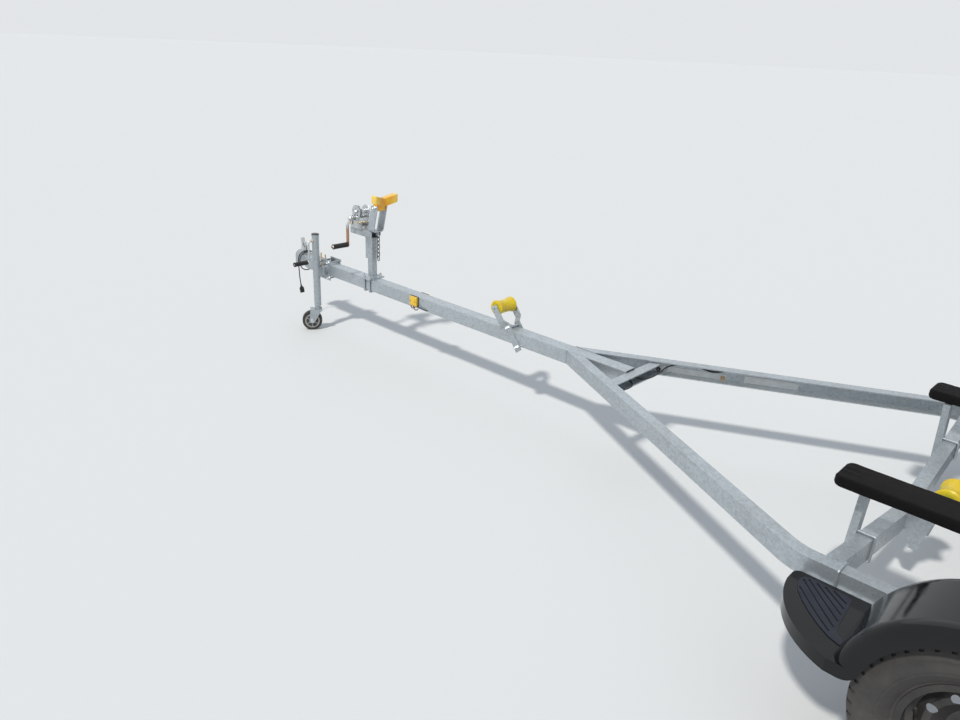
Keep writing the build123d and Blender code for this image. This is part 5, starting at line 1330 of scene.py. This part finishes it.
class TRAILER_OT_plates(bpy.types.Operator):
    """Blank plates riveted to the starboard rail, and the lamps' bezels"""
    bl_idname = "trailer.plates"
    bl_label = "Plates and bezels"

    def execute(self, context):
        plates = []
        rivet = turned([(0, 0), (0.0032, 0), (0.0028, 0.0010), (0.0012, 0.0015), (0, 0.0016)], 16)
        places = []
        inward = (-math.sin(RAIL_ANGLE), math.cos(RAIL_ANGLE), 0)
        for start, end, low, high in ((0.422, 0.733, 0.378, 0.407), (0.818, 1.062, 0.379, 0.414)):
            plate = block((end - start, 0.0012, high - low), (0, 0, 0), 0.0005, 2)
            plate.rotation_euler = (0, 0, RAIL_ANGLE)
            plate.location = rail_point(-1, (start + end) / 2, 0.0056, (low + high) / 2)
            plates.append(settle(plate))
            for along in (start + 0.006, end - 0.006):
                for z in (low + 0.006, high - 0.006):
                    places.append((rail_point(-1, along, 0.0061, z), inward, 0))
        finish_piece(merged(*plates), "blank_plates", "frame", "pale plate")
        finish_piece(copies(rivet, places), "plate_rivets", "frame", "zinc plate")
        tag = block((0.021, 0.0012, 0.022), (0, 0, 0), 0.0005, 2)
        tag.rotation_euler = (0, 0, RAIL_ANGLE)
        tag.location = rail_point(-1, 0.720, 0.0072, 0.387)
        finish_piece(tag, "tan_tag", "frame", "tan tag")

        bezels, ribs, steps = [], [], []
        for s in (-1, 1):
            low, high = (Vector(p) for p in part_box("side_markers"))
            face = s * max(abs(low.y), abs(high.y))
            middle = (low + high) / 2
            for wide, tall, deep in ((0.066, 0.062, 0.0050), (0.046, 0.042, 0.0030)):
                where = s * 0.0406 if deep > 0.004 else face
                target = bezels if deep > 0.004 else ribs
                target.append(block((wide, deep, tall), (middle.x, where, middle.z), 0.0018, 3))
            stud = turned([(0, 0), (0.0030, 0), (0.0028, 0.0012), (0, 0.0016)], 16)
            bezels.append(copies(stud, [((middle.x + dx, face + s * 0.0012, middle.z), (0, s, 0), 0)
                                        for dx in (-0.018, 0.018)]))
            low, high = (Vector(p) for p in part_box("tail_lamps"))
            for wide, tall, x in ((0.158, 0.092, high.x - 0.006), (0.154, 0.088, high.x - 0.013)):
                bezels.append(block((0.010, wide, tall), (x, s * 0.870, 0.400), 0.0030, 3))
            bezels.append(copies(turned([(0, 0), (0.0036, 0), (0.0033, 0.0013), (0, 0.0018)], 16),
                                 [((low.x, s * 0.870 + dy, 0.400 + dz), (-1, 0, 0), 0)
                                  for dy, dz in ((-0.056, 0.026), (0.056, -0.026))]))
            steps += [block((0.0044, 0.118, 0.0052), (low.x, s * 0.870, 0.400 + dz), 0.0016, 3)
                      for dz in (-0.0150, -0.0075, 0.0, 0.0075, 0.0150)]
        finish_piece(merged(*bezels), "lamp_bezels", "frame", "cap plastic")
        finish_piece(merged(*steps), "tail_lens_steps", "frame", "red lens")
        finish_piece(merged(*ribs), "marker_lens_steps", "frame", "amber lens")
        return {"FINISHED"}


class TRAILER_OT_rollers(bpy.types.Operator):
    """Washers, split pins and mould lines of the keel rollers"""
    bl_idname = "trailer.rollers"
    bl_label = "Roller fittings"

    def execute(self, context):
        side = [(0.0088, 0.0600), (0.0355, 0.0600), (0.0392, 0.0585), (0.0408, 0.0555), (0.0404, 0.0500),
                (0.0376, 0.0420), (0.0352, 0.0300)]
        ribs = [(0.0338, 0.0200), (0.0346, 0.0190), (0.0346, 0.0170), (0.0335, 0.0160), (0.0330, 0.0040),
                (0.0338, 0.0030)]
        half = side + ribs
        master = turned(half + [(r, -h) for r, h in reversed(half)] + [half[0]], 64)
        set_at(master, (0.970, 0, 0.543), (0, 1, 0))
        piece = finish_piece(master, "tongue_roller_moulded", "roller_tongue", "lemon poly", 30)
        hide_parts("tongue_roller")
        for name, node, x, z, radius in (("roller_tongue", "tongue_roller", 0.970, 0.543, 0.041),
                                         ("roller_front", "keel_roller_front", -1.225, 0.388, 0.052),
                                         ("roller_rear", "keel_roller_rear", -2.740, 0.388, 0.052)):
            rings = []
            for s in (-1, 1):
                ring = turned([(0.0110, 0.0), (radius * 0.80, 0.0), (radius * 0.78, 0.0014), (radius * 0.62, 0.0018),
                               (radius * 0.58, 0.0006), (0.0175, 0.0006), (0.0160, 0.0030), (0.0110, 0.0030),
                               (0.0110, 0.0)], 48)
                set_at(ring, (x, s * 0.0600, z), (0, s, 0))
                rings.append(ring)
            finish_piece(merged(*rings), node + "_ends", name, "lemon poly")
            washers = []
            for s in (-1, 1):
                washer = turned([(0.0082, 0.0), (0.0165, 0.0), (0.0165, 0.0018), (0.0158, 0.0022), (0.0082, 0.0022),
                                 (0.0082, 0.0)], 28)
                set_at(washer, (x, s * 0.0722, z), (0, s, 0))
                washers.append(washer)
                y = s * 0.0790
                split = tube_along([(x - 0.004, y, z - 0.0160), (x, y, z - 0.0095), (x, y, z + 0.0100),
                                    (x + 0.0045, y, z + 0.0130), (x, y, z + 0.0165), (x - 0.0045, y, z + 0.0130),
                                    (x, y, z + 0.0098)], 0.0012, 4)
                washers.append(split)
            finish_piece(merged(*washers), node + "_pins", "frame", "zinc plate")
        return {"FINISHED"}


# ---------------------------------------------------------------- panel and registration

class TRAILER_PT_panel(bpy.types.Panel):
    """Sizes, colours and makers of the trailer's finish"""
    bl_idname = "TRAILER_PT_panel"
    bl_label = "Boat trailer"
    bl_space_type = "VIEW_3D"
    bl_region_type = "UI"
    bl_category = "Trailer"

    def draw(self, context):
        layout = self.layout
        for group in (context.scene.trailer_colours, context.scene.trailer_sizes):
            for key in group.bl_rna.properties.keys():
                if key not in ("rna_type", "name"):
                    layout.prop(group, key)
        for operator in OPERATORS:
            layout.operator(operator.bl_idname)


OPERATORS = (TRAILER_OT_stage, TRAILER_OT_finishes, TRAILER_OT_lead, TRAILER_OT_bow_stop, TRAILER_OT_bunks,
             TRAILER_OT_treads, TRAILER_OT_tyres, TRAILER_OT_wheel_fittings, TRAILER_OT_fastenings,
             TRAILER_OT_welds, TRAILER_OT_winch, TRAILER_OT_jack, TRAILER_OT_coupler, TRAILER_OT_harness,
             TRAILER_OT_plates, TRAILER_OT_rollers)
CLASSES = (TrailerColours, TrailerSizes, *OPERATORS, TRAILER_PT_panel)


def register():
    """Register the classes and the scene's settings."""
    for cls in CLASSES:
        bpy.utils.register_class(cls)
    bpy.types.Scene.trailer_colours = PointerProperty(type=TrailerColours)
    bpy.types.Scene.trailer_sizes = PointerProperty(type=TrailerSizes)


def unregister():
    """Take the classes and settings away again."""
    del bpy.types.Scene.trailer_sizes
    del bpy.types.Scene.trailer_colours
    for cls in reversed(CLASSES):
        bpy.utils.unregister_class(cls)


def main():
    """Make everything in order."""
    register()
    for operator in OPERATORS:
        group, call = operator.bl_idname.split(".")
        getattr(getattr(bpy.ops, group), call)()


if __name__ == "__main__":
    main()
